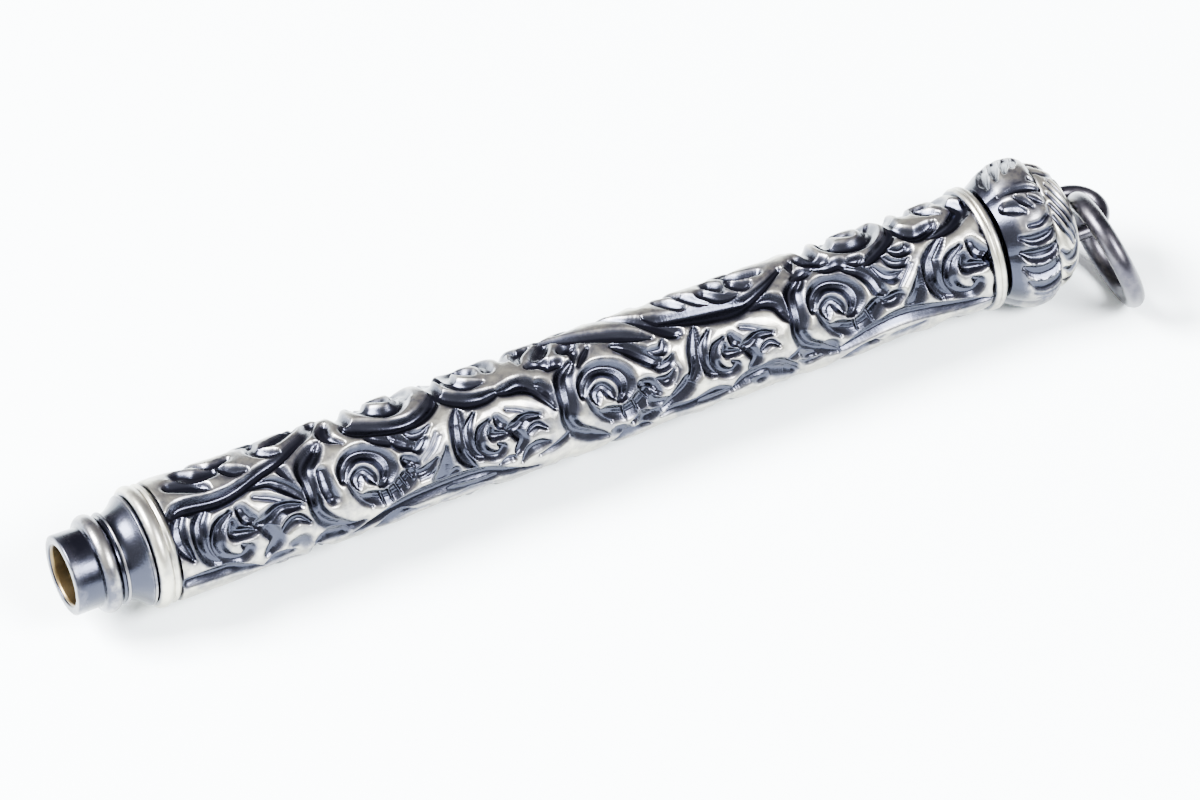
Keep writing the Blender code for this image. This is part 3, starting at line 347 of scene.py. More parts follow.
# ---------------------------------------------------------------- relief
# In millimetres, except the counts; LOBE_DEPTH is a share of the radius.
FAR = 9.0
FLANK = 0.32
CUT_DEPTH = 0.50
SKIRT_DEPTH = 0.15
SKIRT_WIDTH = 0.75
SKIRT_REACH = 1.2
BORDER_DEPTH = 0.06
SLEEVE_ROWS = 884
SLEEVE_COLUMNS = 384
SLEEVE_RINGS = 4
SLEEVE_BORE = 3.40
LOBES = 6
LOBE_DEPTH = 0.04
HEAD_ROWS = 110
HEAD_COLUMNS = 400
HEAD_NECK = 3.95
HEAD_BACK = 4.30
HEAD_BORE = 3.05
HEAD_CUT = 0.46
# Least and greatest station of the groove between head and boss, and the angle where it is least.
GROOVE_NEAR = 69.70
GROOVE_FAR = 70.75
GROOVE_TURN = math.radians(60.0)
BOSS_COLUMNS = 360
BOSS_SHOULDER = 4.35
BOSS_FLAT = 2.1
BOSS_CUT = 0.26
RING_WIRE = 0.68

# ---------------------------------------------------------------- studio
CAMERA_TURN = math.radians(-26.474)
CAMERA_HEIGHT = math.radians(46.257)
CAMERA_DISTANCE = 0.6
CAMERA_LENS = 277.5
CAMERA_AIM = (0.000445, 0.001315, 0.0033)
FLOOR_COLOUR = (0.90, 0.955, 0.975)
# Tones of the room by direction: (share of the way towards the direction, tone).
TOWARDS_MAKER = (0.31, -0.93, 0.20)
TOWARDS_ROOM = (0.25, 0.70, 0.67)
MAKER_TONES = ((0.0, (1.0, 1.0, 1.0)), (0.80, (1.0, 1.0, 1.0)), (0.91, (0.25, 0.25, 0.28)),
               (0.97, (0.04, 0.04, 0.06)), (1.0, (0.03, 0.03, 0.05)))
ROOM_TONES = ((0.0, (1.7, 1.7, 1.65)), (0.30, (1.5, 1.45, 1.40)), (0.56, (0.9, 0.86, 0.90)),
              (0.78, (0.60, 0.57, 0.66)), (1.0, (0.45, 0.43, 0.52)))
# Soft boxes: name, place, aim, width, height, power, tint.
LAMPS = (
    ("near_the_maker", (0.23, -0.47, 0.53), (0.0, 0.0, 0.0), 0.30, 0.24, 30.0, (0.95, 0.975, 1.0)),
    ("at_the_left", (-0.70, 0.30, 0.75), (0.0, 0.0, 0.0), 0.5, 0.5, 150.0, (0.98, 1.0, 1.0)),
)


def smooth_path(rows, per_span=7):
    """A curve through rows of (station, distance round, width): each span is the cubic whose end slopes are
    half the step between its neighbours."""
    rows = np.asarray(rows, float)
    padded = np.vstack([2.0 * rows[0] - rows[1], rows, 2.0 * rows[-1] - rows[-2]])
    t = np.linspace(0.0, 1.0, per_span, endpoint=False)[:, None]
    spans = [0.5 * (2.0 * b + (c - a) * t + (2.0 * a - 5.0 * b + 4.0 * c - d) * t ** 2
                    + (3.0 * b - a - 3.0 * c + d) * t ** 3)
             for a, b, c, d in zip(padded, padded[1:], padded[2:], padded[3:])]
    return np.vstack(spans + [rows[-1:]])


def placed(motif, centre, scale=1.0, flip=False, reverse=False):
    """A motif's strokes moved to a centre, scaled, and flipped across or along the axis if asked."""
    moved = []
    for strength, rows in motif:
        rows = np.array(rows, float) * scale
        rows[:, 1] *= -1.0 if flip else 1.0
        rows[:, 0] *= -1.0 if reverse else 1.0
        moved.append((strength, rows + np.array([centre[0], centre[1], 0.0])))
    return moved


def near_stroke(x, s, girth, path):
    """Signed distance from the grid points near a tapered stroke to its outline, negative inside, with the
    stroke's half width there.  Distances round the case wrap at its girth."""
    reach = path[:, 2].max() / 2.0 + SKIRT_REACH
    columns = np.nonzero((x >= path[:, 0].min() - reach) & (x <= path[:, 0].max() + reach))[0]
    middle = (path[:, 1].min() + path[:, 1].max()) / 2.0
    half = min((path[:, 1].max() - path[:, 1].min()) / 2.0 + reach, girth / 2.0)
    off = (s - middle + girth / 2.0) % girth - girth / 2.0
    rows = np.nonzero(np.abs(off) <= half)[0]
    px, ps = np.meshgrid(x[columns], off[rows] + middle, indexing="ij")
    best = np.full(px.shape, FAR)
    size = np.zeros(px.shape)
    for a, b in zip(path, path[1:]):
        run = b[:2] - a[:2]
        t = np.clip(((px - a[0]) * run[0] + (ps - a[1]) * run[1]) / max(run @ run, 1e-9), 0.0, 1.0)
        half_width = (a[2] + (b[2] - a[2]) * t) / 2.0
        e = np.hypot(px - a[0] - run[0] * t, ps - a[1] - run[1] * t) - half_width
        size = np.where(e < best, half_width, size)
        best = np.minimum(best, e)
    return np.ix_(columns, rows), best, size


def chased(x, s, girth, strokes, ribs=()):
    """Depth of the chasing as a share of the deepest cut, and the distance from the nearest cut's edge.
    Each stroke is a hollow with soft flanks: its depth falls by a half cosine from inside its outline to
    at most FLANK outside it, and a thin stroke is shallower.  Where strokes cross, the deeper one counts,
    so a crest is left standing between two.  Ribs are lines left standing in the hollows."""
    depth = np.zeros((len(x), len(s)))
    edge = np.full(depth.shape, FAR)
    for strength, rows in strokes:
        grid, e, size = near_stroke(x, s, girth, smooth_path(rows))
        flank = FLANK * np.clip(size / 0.3, 0.45, 1.0)
        t = np.clip((e + 0.75 * size) / (0.75 * size + flank), 0.0, 1.0)
        cut = strength * np.minimum(1.0, 0.35 + 1.5 * size) * 0.5 * (1.0 + np.cos(math.pi * t))
        depth[grid] = np.maximum(depth[grid], cut)
        edge[grid] = np.minimum(edge[grid], e)
    for strength, rows in ribs:
        grid, e, size = near_stroke(x, s, girth, smooth_path(rows))
        t = np.clip(-e / np.maximum(size, 0.03), 0.0, 1.0)
        depth[grid] *= 1.0 - strength * t * (2.0 - t)
    return depth, edge


# ---------------------------------------------------------------- meshes
def to_world(stations_mm, across_mm, up_mm):
    """Points in metres from station, distance towards +Y and height over the axis, in millimetres."""
    spots = (MOUTH + stations_mm * MM, AXIS_Y + across_mm * MM, AXIS_Z + up_mm * MM)
    return np.stack(np.broadcast_arrays(*spots), axis=-1)


def about_axis(station, radius, angle):
    """A point at a station, a radius and an angle from the top towards the viewer's side."""
    return to_world(station, -radius * np.sin(angle), radius * np.cos(angle))


def outward(points):
    """Unit normals of a grid of points: the cross product of the differences along its two ways."""
    along = np.gradient(points, axis=0)
    round_ = (np.roll(points, -1, axis=1) - np.roll(points, 1, axis=1)) / 2.0
    normal = np.cross(round_, along)
    return normal / np.maximum(np.linalg.norm(normal, axis=-1, keepdims=True), 1e-12)


def grid_faces(rows, columns, closed_rows):
    """Four-cornered faces of a grid that is closed across its columns, and along its rows if asked."""
    i = np.arange(rows if closed_rows else rows - 1)[:, None]
    j = np.arange(columns)[None, :]
    i2, j2 = (i + 1) % rows, (j + 1) % columns
    return np.stack([i * columns + j, i * columns + j2, i2 * columns + j2, i2 * columns + j],
                    axis=-1).reshape(-1, 4)


def mesh_piece(name, points, faces, hollow, normals=None):
    """An object from arrays of points and four-cornered faces, with the depth of its hollows as an
    attribute, which on the head and boss also holds painted shade by the neck and the groove, and, where
    given, its own corner normals."""
    mesh = bpy.data.meshes.new(name)
    mesh.vertices.add(len(points))
    mesh.vertices.foreach_set("co", np.ascontiguousarray(points, np.float32).ravel())
    mesh.loops.add(faces.size)
    mesh.loops.foreach_set("vertex_index", np.ascontiguousarray(faces, np.int32).ravel())
    mesh.polygons.add(len(faces))
    mesh.polygons.foreach_set("loop_start", np.arange(0, faces.size, faces.shape[1], dtype=np.int32))
    mesh.attributes.new("hollow", "FLOAT", "POINT").data.foreach_set(
        "value", np.ascontiguousarray(hollow, np.float32).ravel())
    mesh.update(calc_edges=True)
    mesh.validate()
    mesh.shade_smooth()
    if normals is not None:
        mesh.normals_split_custom_set(np.ascontiguousarray(normals, np.float32).reshape(-1, 3))
    made = bpy.data.objects.new(name, mesh)
    bpy.context.scene.collection.objects.link(made)
    return made


def turned(name, profile, hollow, sides=192):
    """A closed outline of (station, radius) points spun about the axis, with the outline's hollows."""
    angle = np.linspace(0.0, 2.0 * math.pi, sides, endpoint=False)
    profile = np.asarray(profile, float)
    points = about_axis(profile[:, :1], profile[:, 1:], angle[None, :] + 0.0 * profile[:, :1])
    shade = np.repeat(np.asarray(hollow, float)[:, None], sides, axis=1)
    made = mesh_piece(name, points.reshape(-1, 3), grid_faces(len(profile), sides, True), shade)
    made.data.set_sharp_from_angle(angle=math.radians(50.0))
    return made


# ---------------------------------------------------------------- sleeve
def make_sleeve(finish):
    """The chased tube.  Its outer surface stands at the sleeve's radius less the depth of the chasing and
    less a soft fall beside each cut, worked out on one grid.  The grid is then cut across into rings with a
    plain bore, and each corner keeps the whole grid's normal, so that no joint shows."""
    start, end = stations("case_sleeve")
    outer = widest("case_sleeve")
    x = np.linspace(start, end, SLEEVE_ROWS)
    angle = np.linspace(0.0, 2.0 * math.pi, SLEEVE_COLUMNS, endpoint=False)
    strokes, ribs = sleeve_drawing()
    depth, edge = chased(x, angle * UNROLLED_RADIUS, GIRTH, strokes, ribs)
    fall = CUT_DEPTH * depth + SKIRT_DEPTH * np.exp(-np.maximum(edge, 0.0) / SKIRT_WIDTH)
    fall += BORDER_DEPTH * (np.exp(-(x - start) / 0.12) + np.exp(-(end - x) / 0.12))[:, None]
    points = about_axis(x[:, None], outer - fall, angle[None, :])
    normals = outward(points)
    cuts = np.linspace(0, SLEEVE_ROWS - 1, SLEEVE_RINGS + 1).astype(int)
    for number, (first, last) in enumerate(zip(cuts, cuts[1:])):
        band = slice(first, last + 1)
        inner = about_axis(x[[last, first], None], SLEEVE_BORE, angle[None, :])
        ring = np.concatenate([points[band], inner])
        shade = np.concatenate([fall[band] / CUT_DEPTH, np.ones((2, SLEEVE_COLUMNS))])
        faces = grid_faces(len(ring), SLEEVE_COLUMNS, True)
        flat = ring.reshape(-1, 3)
        a, b, c = (flat[faces[:, k]] for k in (0, 1, 2))
        plain = np.cross(b - a, c - a)
        plain /= np.maximum(np.linalg.norm(plain, axis=1, keepdims=True), 1e-20)
        soft = np.concatenate([normals[band], np.zeros_like(inner)]).reshape(-1, 3)[faces]
        hidden = (faces >= (last + 1 - first) * SLEEVE_COLUMNS).any(axis=1)
        corner = np.where(hidden[:, None, None], plain[:, None, :], soft)
        piece = mesh_piece(f"chased_sleeve_{number + 1}", flat, faces, shade, corner)
        finish.put_on(piece)
        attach(piece, "case")
        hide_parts("case_sleeve")


def sleeve_drawing():
    """Every stroke and standing rib on the sleeve: the row that faces the viewer, and the same scrolls turned
    and reversed over the far side and underneath."""
    strokes = FRONT_LEAVES + MIDDLE_LEAVES + REAR_LEAVES + GROUND_GOUGES
    ribs = []
    for eye, gouge, fan, flutes, wedge in ((GREAT_EYES[0], S_GOUGE, FAN_A, FLUTES_A, WEDGE),
                                           (GREAT_EYES[1], NEAR_GOUGE, FAN_B, FLUTES_B, []),
                                           (GREAT_EYES[2], NEAR_GOUGE, FAN_C, FLUTES_C, BROAD_WEDGE)):
        strokes = strokes + placed(VOLUTE + gouge + fan + wedge, eye)
        ribs = ribs + placed(flutes, eye)
    for eye, scale in SMALL_EYES:
        strokes = strokes + placed(SMALL_SCROLL, eye, scale)
    for middle, scale in FAR_EYES:
        strokes = strokes + placed(FAR_RING, middle, scale)
    for spot, flip in CREST_SCROLLS:
        strokes = strokes + placed(SMALL_SCROLL, spot, 1.0, flip)
    for row, flip, shift in BACK_ROWS:
        for eye, fan, flutes in zip(GREAT_EYES, (FAN_B, FAN_C, FAN_A), (FLUTES_B, FLUTES_C, FLUTES_A)):
            spot = (eye[0] + shift, row)
            strokes = strokes + placed(VOLUTE + S_GOUGE + WEDGE + fan, spot, 0.95, flip)
            ribs = ribs + placed(flutes, spot, 0.95, flip)
        for eye, scale in SMALL_EYES:
            spot = (eye[0] + shift, row + (-1.0 if flip else 1.0))
            strokes = strokes + placed(SMALL_SCROLL, spot, 0.9 * scale, flip)
    return strokes, ribs


# ---------------------------------------------------------------- turned pieces
def rounded(points, per_span=6):
    """A turned outline made smooth: the curve of smooth_path through its (station, radius) points."""
    rows = np.column_stack([np.asarray(points, float), np.zeros(len(points))])
    return smooth_path(rows, per_span)[:, :2]


def half_round(middle, base, top, half_width, steps=15):
    """A bead: half an ellipse over its base radius."""
    turn = np.linspace(math.pi, 0.0, steps)
    return np.column_stack([middle + half_width * np.cos(turn), base + (top - base) * np.sin(turn)])


def dress(piece, finish, body, slot, *nodes):
    finish.put_on(piece)
    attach(piece, body)
    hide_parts(*nodes)


def make_nozzle(finish, gilt):
    """The turned nozzle: a rounded rim, a plain neck, a bead with a thin ring behind it, a cavetto that
    spreads towards the sleeve, and a thin ring before the great bead."""
    back = stations("nozzle")[1]
    rim = widest("front_collar") - 1.40
    bore = widest("nozzle_bush") - 0.13
    flare = widest("nozzle")
    spigot = 2.95
    lip = np.column_stack([0.16 - 0.16 * np.sin(np.linspace(0, math.pi / 2, 7)),
                           rim - 0.16 + 0.16 * np.cos(np.linspace(0, math.pi / 2, 7))])[::-1]
    inner_lip = np.column_stack([0.10 - 0.10 * np.cos(np.linspace(math.pi / 2, 0, 5)),
                                 bore + 0.10 - 0.10 * np.sin(np.linspace(math.pi / 2, 0, 5))])
    cavetto_run = np.linspace(0.0, 1.0, 12)[1:]
    cavetto = np.column_stack([3.58 + 1.26 * cavetto_run, 2.90 + (flare - 0.06 - 2.90) * cavetto_run ** 1.7])
    outer = np.vstack([lip, rounded([(0.3, rim), (1.0, rim - 0.02), (1.6, rim - 0.03), (1.76, rim - 0.02)]),
                       half_round(2.4, rim + 0.08, 3.28, 0.58), [(3.08, 2.90), (3.2, 2.88)],
                       half_round(3.4, 2.90, 3.11, 0.15, 9), cavetto,
                       half_round(4.98, flare - 0.10, flare, 0.11, 9)])
    inside = [(5.16, flare - 0.4), (5.16, spigot), (back, spigot), (back, 2.36), (1.15, 2.36), (1.15, bore)]
    profile = np.vstack([outer, inside, inner_lip])
    tops = np.interp(profile[:, 0], [0.0, 0.3, 1.9, 2.4, 2.9, 3.4, 3.6, 4.4, 4.95, 5.1],
                     [rim, rim + 0.10, 3.15, 3.28, 3.2, 3.13, 3.45, 3.85, flare, flare])
    shade = np.clip((tops - profile[:, 1]) / 0.30, 0.0, 1.0)
    shade[:3] = 0.1
    piece = turned("turned_nozzle", profile, shade)
    dress(piece, finish, "case", "chased_silver", "nozzle")
    lining = [(0.10, bore - 0.01), (0.14, bore - 0.08), (0.3, bore - 0.11), (1.15, bore - 0.11),
              (1.15, bore + 0.04), (0.10, bore + 0.04)]
    ring = turned("bore_lining", lining, np.zeros(len(lining)))
    gilt.put_on(ring)
    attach(ring, "case")


def make_beads(finish):
    """The great bead behind the nozzle, and the flat bead at the sleeve's rear with its engraved line."""
    start, end = stations("front_collar")
    start, end = start - 0.10, end + 0.10
    top = widest("front_collar")
    crown = rounded([(start, top - 0.75), (start + 0.10, top - 0.32), (start + 0.32, top - 0.06),
                     (start + 0.62, top), (start + 0.90, top - 0.10), (start + 1.06, top - 0.22),
                     (start + 1.14, top - 0.20), (start + 1.26, top - 0.10), (start + 1.38, top - 0.16),
                     (end, top - 0.40)], 5)
    profile = np.vstack([crown, [(end, 3.1), (start, 3.1)]])
    shade = np.clip((top - profile[:, 1] - 0.16) / 0.5, 0.0, 1.0)
    dress(turned("great_bead", profile, shade), finish, "case", "chased_silver", "front_collar")

    start, end = stations("rear_collar")
    start = start - 0.10
    top = widest("rear_collar")
    crown = rounded([(start, top - 0.30), (start + 0.06, top - 0.12), (start + 0.22, top - 0.01),
                     (start + 0.36, top - 0.02), (start + 0.43, top - 0.09), (start + 0.50, top - 0.02),
                     (start + 0.66, top), (start + 0.82, top - 0.10), (end, top - 0.34)], 5)
    profile = np.vstack([crown, [(end, 3.5), (start, 3.5)]])
    shade = np.clip((top - profile[:, 1] - 0.05) / 0.25, 0.0, 1.0)
    dress(turned("rear_bead", profile, shade), finish, "case", "chased_silver", "rear_collar")


# ---------------------------------------------------------------- head
def lobes(angle):
    """Share of the full radius round the head: six round lobes that meet in shallow valleys."""
    return 1.0 - LOBE_DEPTH * (1.0 - np.abs(np.cos((angle - math.pi / LOBES) * LOBES / 2.0)))


def groove(angle):
    """Station of the groove between head and boss: it leans back on the far side."""
    return GROOVE_NEAR + (GROOVE_FAR - GROOVE_NEAR) * 0.5 * (1.0 - np.cos(angle - GROOVE_TURN))


def make_head(finish):
    """The lobed head: the neck swells as a quarter sine to its widest place at a share 0.62 of the way to
    the groove, falls away as the root of 1 - t to the 2.6, and is cut with leaf veins as the sleeve is."""
    start = stations("head_shell")[0]
    angle = np.linspace(0.0, 2.0 * math.pi, HEAD_COLUMNS, endpoint=False)
    top = widest("head_shell") / float(lobes(np.array([math.pi / 2.0]))[0])
    t = 1.0 - (1.0 - np.linspace(0.0, 1.0, HEAD_ROWS)) ** 1.25
    x = start + t[:, None] * (groove(angle)[None, :] - start)
    rise = np.sin(np.clip(t / 0.62, 0.0, 1.0) * math.pi / 2.0)
    sink = np.sqrt(np.clip(1.0 - np.clip((t - 0.62) / 0.38, 0.0, 1.0) ** 2.6, 0.0, 1.0))
    shape = np.where(t < 0.62, HEAD_NECK + (top - HEAD_NECK) * rise, HEAD_BACK + (top - HEAD_BACK) * sink)
    base = shape[:, None] * lobes(angle)[None, :]
    strokes = list(HEAD_VEINS)
    for turn in (1, 2, 3):
        strokes += placed(HEAD_LEAF, (0.0, 7.6 + turn * 3.9), 1.0, turn % 2 == 0)
    even = np.linspace(start, GROOVE_FAR, 3 * HEAD_ROWS)
    depth, edge = chased(even, angle * UNROLLED_RADIUS, GIRTH, strokes)
    row = np.clip((x - even[0]) / (even[1] - even[0]), 0.0, len(even) - 1.001)
    low, share = row.astype(int), row % 1.0
    column = np.arange(HEAD_COLUMNS)[None, :]
    depth, edge = ((1.0 - share) * field[low, column] + share * field[low + 1, column]
                   for field in (depth, edge))
    valley = (1.0 - lobes(angle)[None, :]) / LOBE_DEPTH * np.sin(t * math.pi)[:, None]
    fall = HEAD_CUT * depth + 0.07 * np.exp(-np.maximum(edge, 0.0) / 0.2) + 0.14 * valley ** 2
    points = about_axis(x, base - fall, angle[None, :])
    inner = about_axis(np.array([[GROOVE_NEAR], [start]]), HEAD_BORE, angle[None, :])
    # Painted shade: the neck is darkened over its first 1.1 mm, next to the rear bead where the two parts
    # meet.
    neck = np.clip(1.0 - (x - start) / 1.1, 0.0, 1.0)
    # Painted shade: the last part of the head before the groove to the boss is darkened.
    rear = np.clip((t[:, None] - 0.93) / 0.07, 0, 1)
    shade = np.maximum(fall / HEAD_CUT * 0.95, np.maximum(1.1 * neck ** 0.7, 1.2 * rear))
    ring = np.concatenate([points, inner]).reshape(-1, 3)
    shade = np.concatenate([shade, np.ones((2, HEAD_COLUMNS))])
    piece = mesh_piece("lobed_head", ring, grid_faces(HEAD_ROWS + 2, HEAD_COLUMNS, True), shade)
    piece.data.set_sharp_from_angle(angle=math.radians(60.0))
    dress(piece, finish, "pull_head", "chased_silver", "head_shell")


def make_boss(finish):
    """The shell that closes the head: from the groove it swells at once to its shoulder, then rounds over as
    a quarter turn to a small flat end.  Its flutes sweep round and meet in a curl on the viewer's side."""
    end = stations("end_boss")[1]
    angle = np.linspace(0.0, 2.0 * math.pi, BOSS_COLUMNS, endpoint=False)
    turn = np.linspace(0.0, math.pi / 2.0, 90)
    begin = groove(angle)[None, :] - 0.12
    x = begin + (end - begin) * np.sin(turn)[:, None]
    r = BOSS_FLAT + (BOSS_SHOULDER - BOSS_FLAT) * np.cos(turn) ** 0.85 - 0.45 * np.exp(-turn / 0.06)
    flat = np.linspace(BOSS_FLAT, 0.03, 20)[1:]
    r = np.concatenate([r, flat])
    x = np.concatenate([x, np.full((len(flat), BOSS_COLUMNS), end)])
    arc = np.concatenate([turn / (math.pi / 2.0) * 3.2, 3.2 + BOSS_FLAT - flat])
    strokes = list(BOSS_FLUTES)
    for shift in (8.4, 16.8):
        strokes += placed(BOSS_FLUTES, (0.0, shift))
    depth, edge = chased(arc, angle * UNROLLED_RADIUS, GIRTH, strokes)
    fall = BOSS_CUT * depth + 0.05 * np.exp(-np.maximum(edge, 0.0) / 0.15)
    tilt = np.concatenate([np.cos(turn), np.zeros(len(flat))])[:, None]
    points = about_axis(x - fall * np.sqrt(1.0 - tilt ** 2), np.maximum(r[:, None] - fall * tilt, 0.03),
                        angle[None, :])
    seat = np.full((2, 1), GROOVE_NEAR - 0.3)
    back = about_axis(seat, np.array([[0.03], [3.2]]), angle[None, :])
    grid = np.concatenate([points, back]).reshape(-1, 3)
    # Painted shade in the groove between head and boss: the boss is darkened over its first few tenths of a
    # millimetre from the groove.
    shade = np.maximum(fall / BOSS_CUT, 1.2 * np.exp(-arc / 0.12)[:, None])
    shade = np.concatenate([shade, np.ones((2, BOSS_COLUMNS))])
    piece = mesh_piece("shell_boss", grid, grid_faces(len(arc) + 2, BOSS_COLUMNS, True), shade)
    piece.data.set_sharp_from_angle(angle=math.radians(60.0))
    dress(piece, finish, "pull_head", "chased_silver", "end_boss")


# ---------------------------------------------------------------- wire
def swept(name, path, radius, up, sides=40):
    """A round wire along a closed path: a circle carried square to the path, its first direction kept along
    the given one as far as the path lets it."""
    run = np.roll(path, -1, axis=0) - np.roll(path, 1, axis=0)
    run /= np.linalg.norm(run, axis=1, keepdims=True)
    side = np.cross(run, up)
    side /= np.linalg.norm(side, axis=1, keepdims=True)
    over = np.cross(side, run)
    turn = np.linspace(0.0, 2.0 * math.pi, sides, endpoint=False)
    points = (path[:, None, :] + radius * (np.cos(turn)[None, :, None] * side[:, None, :]
                                           + np.sin(turn)[None, :, None] * over[:, None, :]))
    faces = grid_faces(len(path), sides, True)
    flat = points.reshape(-1, 3)
    middle = path.mean(axis=0)
    if volume(flat - middle, faces) < 0.0:
        faces = faces[:, ::-1]
    return mesh_piece(name, flat, faces, np.zeros(len(flat)))


def volume(points, faces):
    """Signed volume inside a mesh of four-cornered faces."""
    a, b, c, d = (points[faces[:, k]] for k in range(4))
    near_half = np.einsum("ij,ij->i", a, np.cross(b, c))
    far_half = np.einsum("ij,ij->i", a, np.cross(c, d))
    return float((near_half + far_half).sum() / 6.0)


def make_eye(finish):
    """The bent wire eye: half a circle behind the boss, whose legs go into it and join inside."""
    low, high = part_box("eye")
    wire = (high[2] - low[2]) / 2.0
    reach = (high[1] - low[1]) / 2.0 - wire
    bend = high[0] - wire - reach
    root = low[0] - wire
    turn = np.radians(np.linspace(-90.0, 90.0, 60))
    legs = np.linspace(bend, root, 14)[1:]
    centre = np.column_stack([bend + reach * np.cos(turn), reach * np.sin(turn)])
    path = np.vstack([centre, np.column_stack([legs, np.full(len(legs), reach)]),
                      np.column_stack([np.full(9, root), np.linspace(reach, -reach, 11)[1:-1]]),
                      np.column_stack([legs[::-1], np.full(len(legs), -reach)])])
    points = np.column_stack([path[:, 0], AXIS_Y + path[:, 1], np.full(len(path), AXIS_Z)])
    eye = swept("wire_eye", points, wire, np.array([0.0, 0.0, 1.0]))
    dress(eye, finish, "pull_head", "plain_silver", "eye")


def make_ring(finish):
    """The round ring, at the tilt at which it leans."""
    low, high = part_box("jump_ring")
    centre = np.array([(low[k] + high[k]) / 2.0 for k in range(3)])
    wire = RING_WIRE * MM
    size = (high[1] - low[1]) / 2.0 - wire
    tilt = math.asin(min(1.0, ((high[0] - low[0]) / 2.0 - wire) / size))
    across = np.array([0.0, 1.0, 0.0])
    along = np.array([-math.sin(tilt), 0.0, math.cos(tilt)])
    turn = np.linspace(0.0, 2.0 * math.pi, 220, endpoint=False)[:, None]
    path = centre + size * (across * np.cos(turn) + along * np.sin(turn))
    square = np.cross(across, along)
    dress(swept("round_ring", path, wire, square), finish, "ring", "plain_silver", "jump_ring")


# ---------------------------------------------------------------- finishes
class Value:
    """A number that varies over a surface.  Sums, differences and products of values add Math nodes."""

    def __init__(self, finish, socket):
        self.finish, self.socket = finish, socket

    def _with(self, operation, first, second, clamp=False):
        settings = {"operation": operation, "use_clamp": clamp}
        node = self.finish.node("ShaderNodeMath", settings, {0: first, 1: second})
        return Value(self.finish, node.outputs[0])

    def __add__(self, other):
        return self._with("ADD", self, other)

    __radd__ = __add__

    def __sub__(self, other):
        return self._with("SUBTRACT", self, other)

    def __rsub__(self, other):
        return self._with("SUBTRACT", other, self)

    def __mul__(self, other):
        return self._with("MULTIPLY", self, other)

    __rmul__ = __mul__

    def between(self, low, high):
        """0 below low, 1 above high, and an even rise from one to the other."""
        return self._with("MULTIPLY", self - low, 1.0 / (high - low), True)


class Finish:
    """A material under construction."""

    def __init__(self, name):
        self.material = bpy.data.materials.new(name)
        self.material.use_nodes = True
        self.tree = self.material.node_tree
        self.shader = self.tree.nodes["Principled BSDF"]

    def node(self, kind, settings=None, values=None):
        """A node of a kind: its settings are made first, then its sockets get values or links."""
        made = self.tree.nodes.new(kind)
        for name, setting in (settings or {}).items():
            if name == "stops":
                stops = made.color_ramp.elements
                while len(stops) < len(setting):
                    stops.new(1.0)
                for stop, (place, tone) in zip(stops, setting):
                    stop.position, stop.color = place, (*tone, 1.0)
            else:
                setattr(made, name, setting)
        for name, value in (values or {}).items():
            self.feed(made.inputs[name], value)
        return made

    def feed(self, socket, value):
        if isinstance(value, Value):
            self.tree.links.new(value.socket, socket)
        elif isinstance(value, bpy.types.NodeSocket):
            self.tree.links.new(value, socket)
        else:
            socket.default_value = value

    def where(self):
        return self.node("ShaderNodeTexCoord").outputs["Object"]

    def stretched(self, across):
        """Object coordinates scaled along each axis."""
        return self.node("ShaderNodeMapping", {}, {"Vector": self.where(), "Scale": across}).outputs[0]

    def noise(self, size, detail=3.0, roughness=0.55, vector=None):
        """Soft noise, 0 to 1, whose blotches are about the given size in millimetres."""
        inputs = {"Vector": vector or self.where(), "Scale": 1.0 / (size * MM), "Detail": detail,
                  "Roughness": roughness}
        made = self.node("ShaderNodeTexNoise", {}, inputs)
        return Value(self, made.outputs["Fac"])

    def hollow(self):
        made = self.node("ShaderNodeAttribute", {"attribute_name": "hollow"})
        return Value(self, made.outputs["Fac"])

    def mix(self, share, low, high):
        """A colour between two, by a share from 0 to 1."""
        made = self.node("ShaderNodeMix", {"data_type": "RGBA"}, {0: share, 6: low, 7: high})
        return made.outputs[2]

    def bump(self, height, depth, strength=1.0):
        """A normal that rises and falls by the depth in millimetres."""
        return self.node("ShaderNodeBump", {}, {"Height": height, "Distance": depth * MM,
                                                "Strength": strength}).outputs[0]

    def settle(self, **inputs):
        for name, value in inputs.items():
            self.feed(self.shader.inputs[name.replace("_", " ").title()], value)
        return self

    def put_on(self, piece):
        piece.data.materials.clear()
        piece.data.materials.append(self.material)


def colour(red, green, blue):
    return (red, green, blue, 1.0)


def chased_silver(name, tarnish_from, tarnish_full, veil):
    """Silver, polished warm and bright on the high places and oxidised blue-black in the hollows, with every
    grey between on their flanks; where the attribute holds painted shade, on the head's neck and by the
    groove before the boss, the same darkening paints that shade.  The veil is how much grey film lies on the
    open surface."""
    made = Finish(name)
    uneven = made.noise(0.55, 4.0, 0.6)
    film = made.noise(2.6, 3.0, 0.5)
    pits = made.noise(0.09, 2.0, 0.5)
    cloud = (film + 0.5 * (uneven - 0.5)).between(0.42, 0.66) * veil
    dark = ((made.hollow() + 0.30 * (uneven - 0.5)).between(tarnish_from, tarnish_full) + 0.30 * cloud)
    tone = made.node("ShaderNodeValToRGB", {"stops": (
        (0.0, (0.42, 0.398, 0.325)), (0.18, (0.27, 0.257, 0.228)), (0.42, (0.130, 0.126, 0.134)),
        (0.70, (0.050, 0.051, 0.066)), (1.0, (0.026, 0.0275, 0.039)))}, {0: dark}).outputs[0]
    scratch = made.noise(0.16, 2.0, 0.6, made.stretched((0.15, 1.0, 1.0)))
    height = 0.5 * uneven + 0.22 * scratch + 0.12 * pits
    made.settle(base_color=tone, metallic=1.0, roughness=0.33 - 0.13 * dark + 0.06 * cloud + 0.05 * uneven,
                normal=made.bump(height, 0.022))
    return made


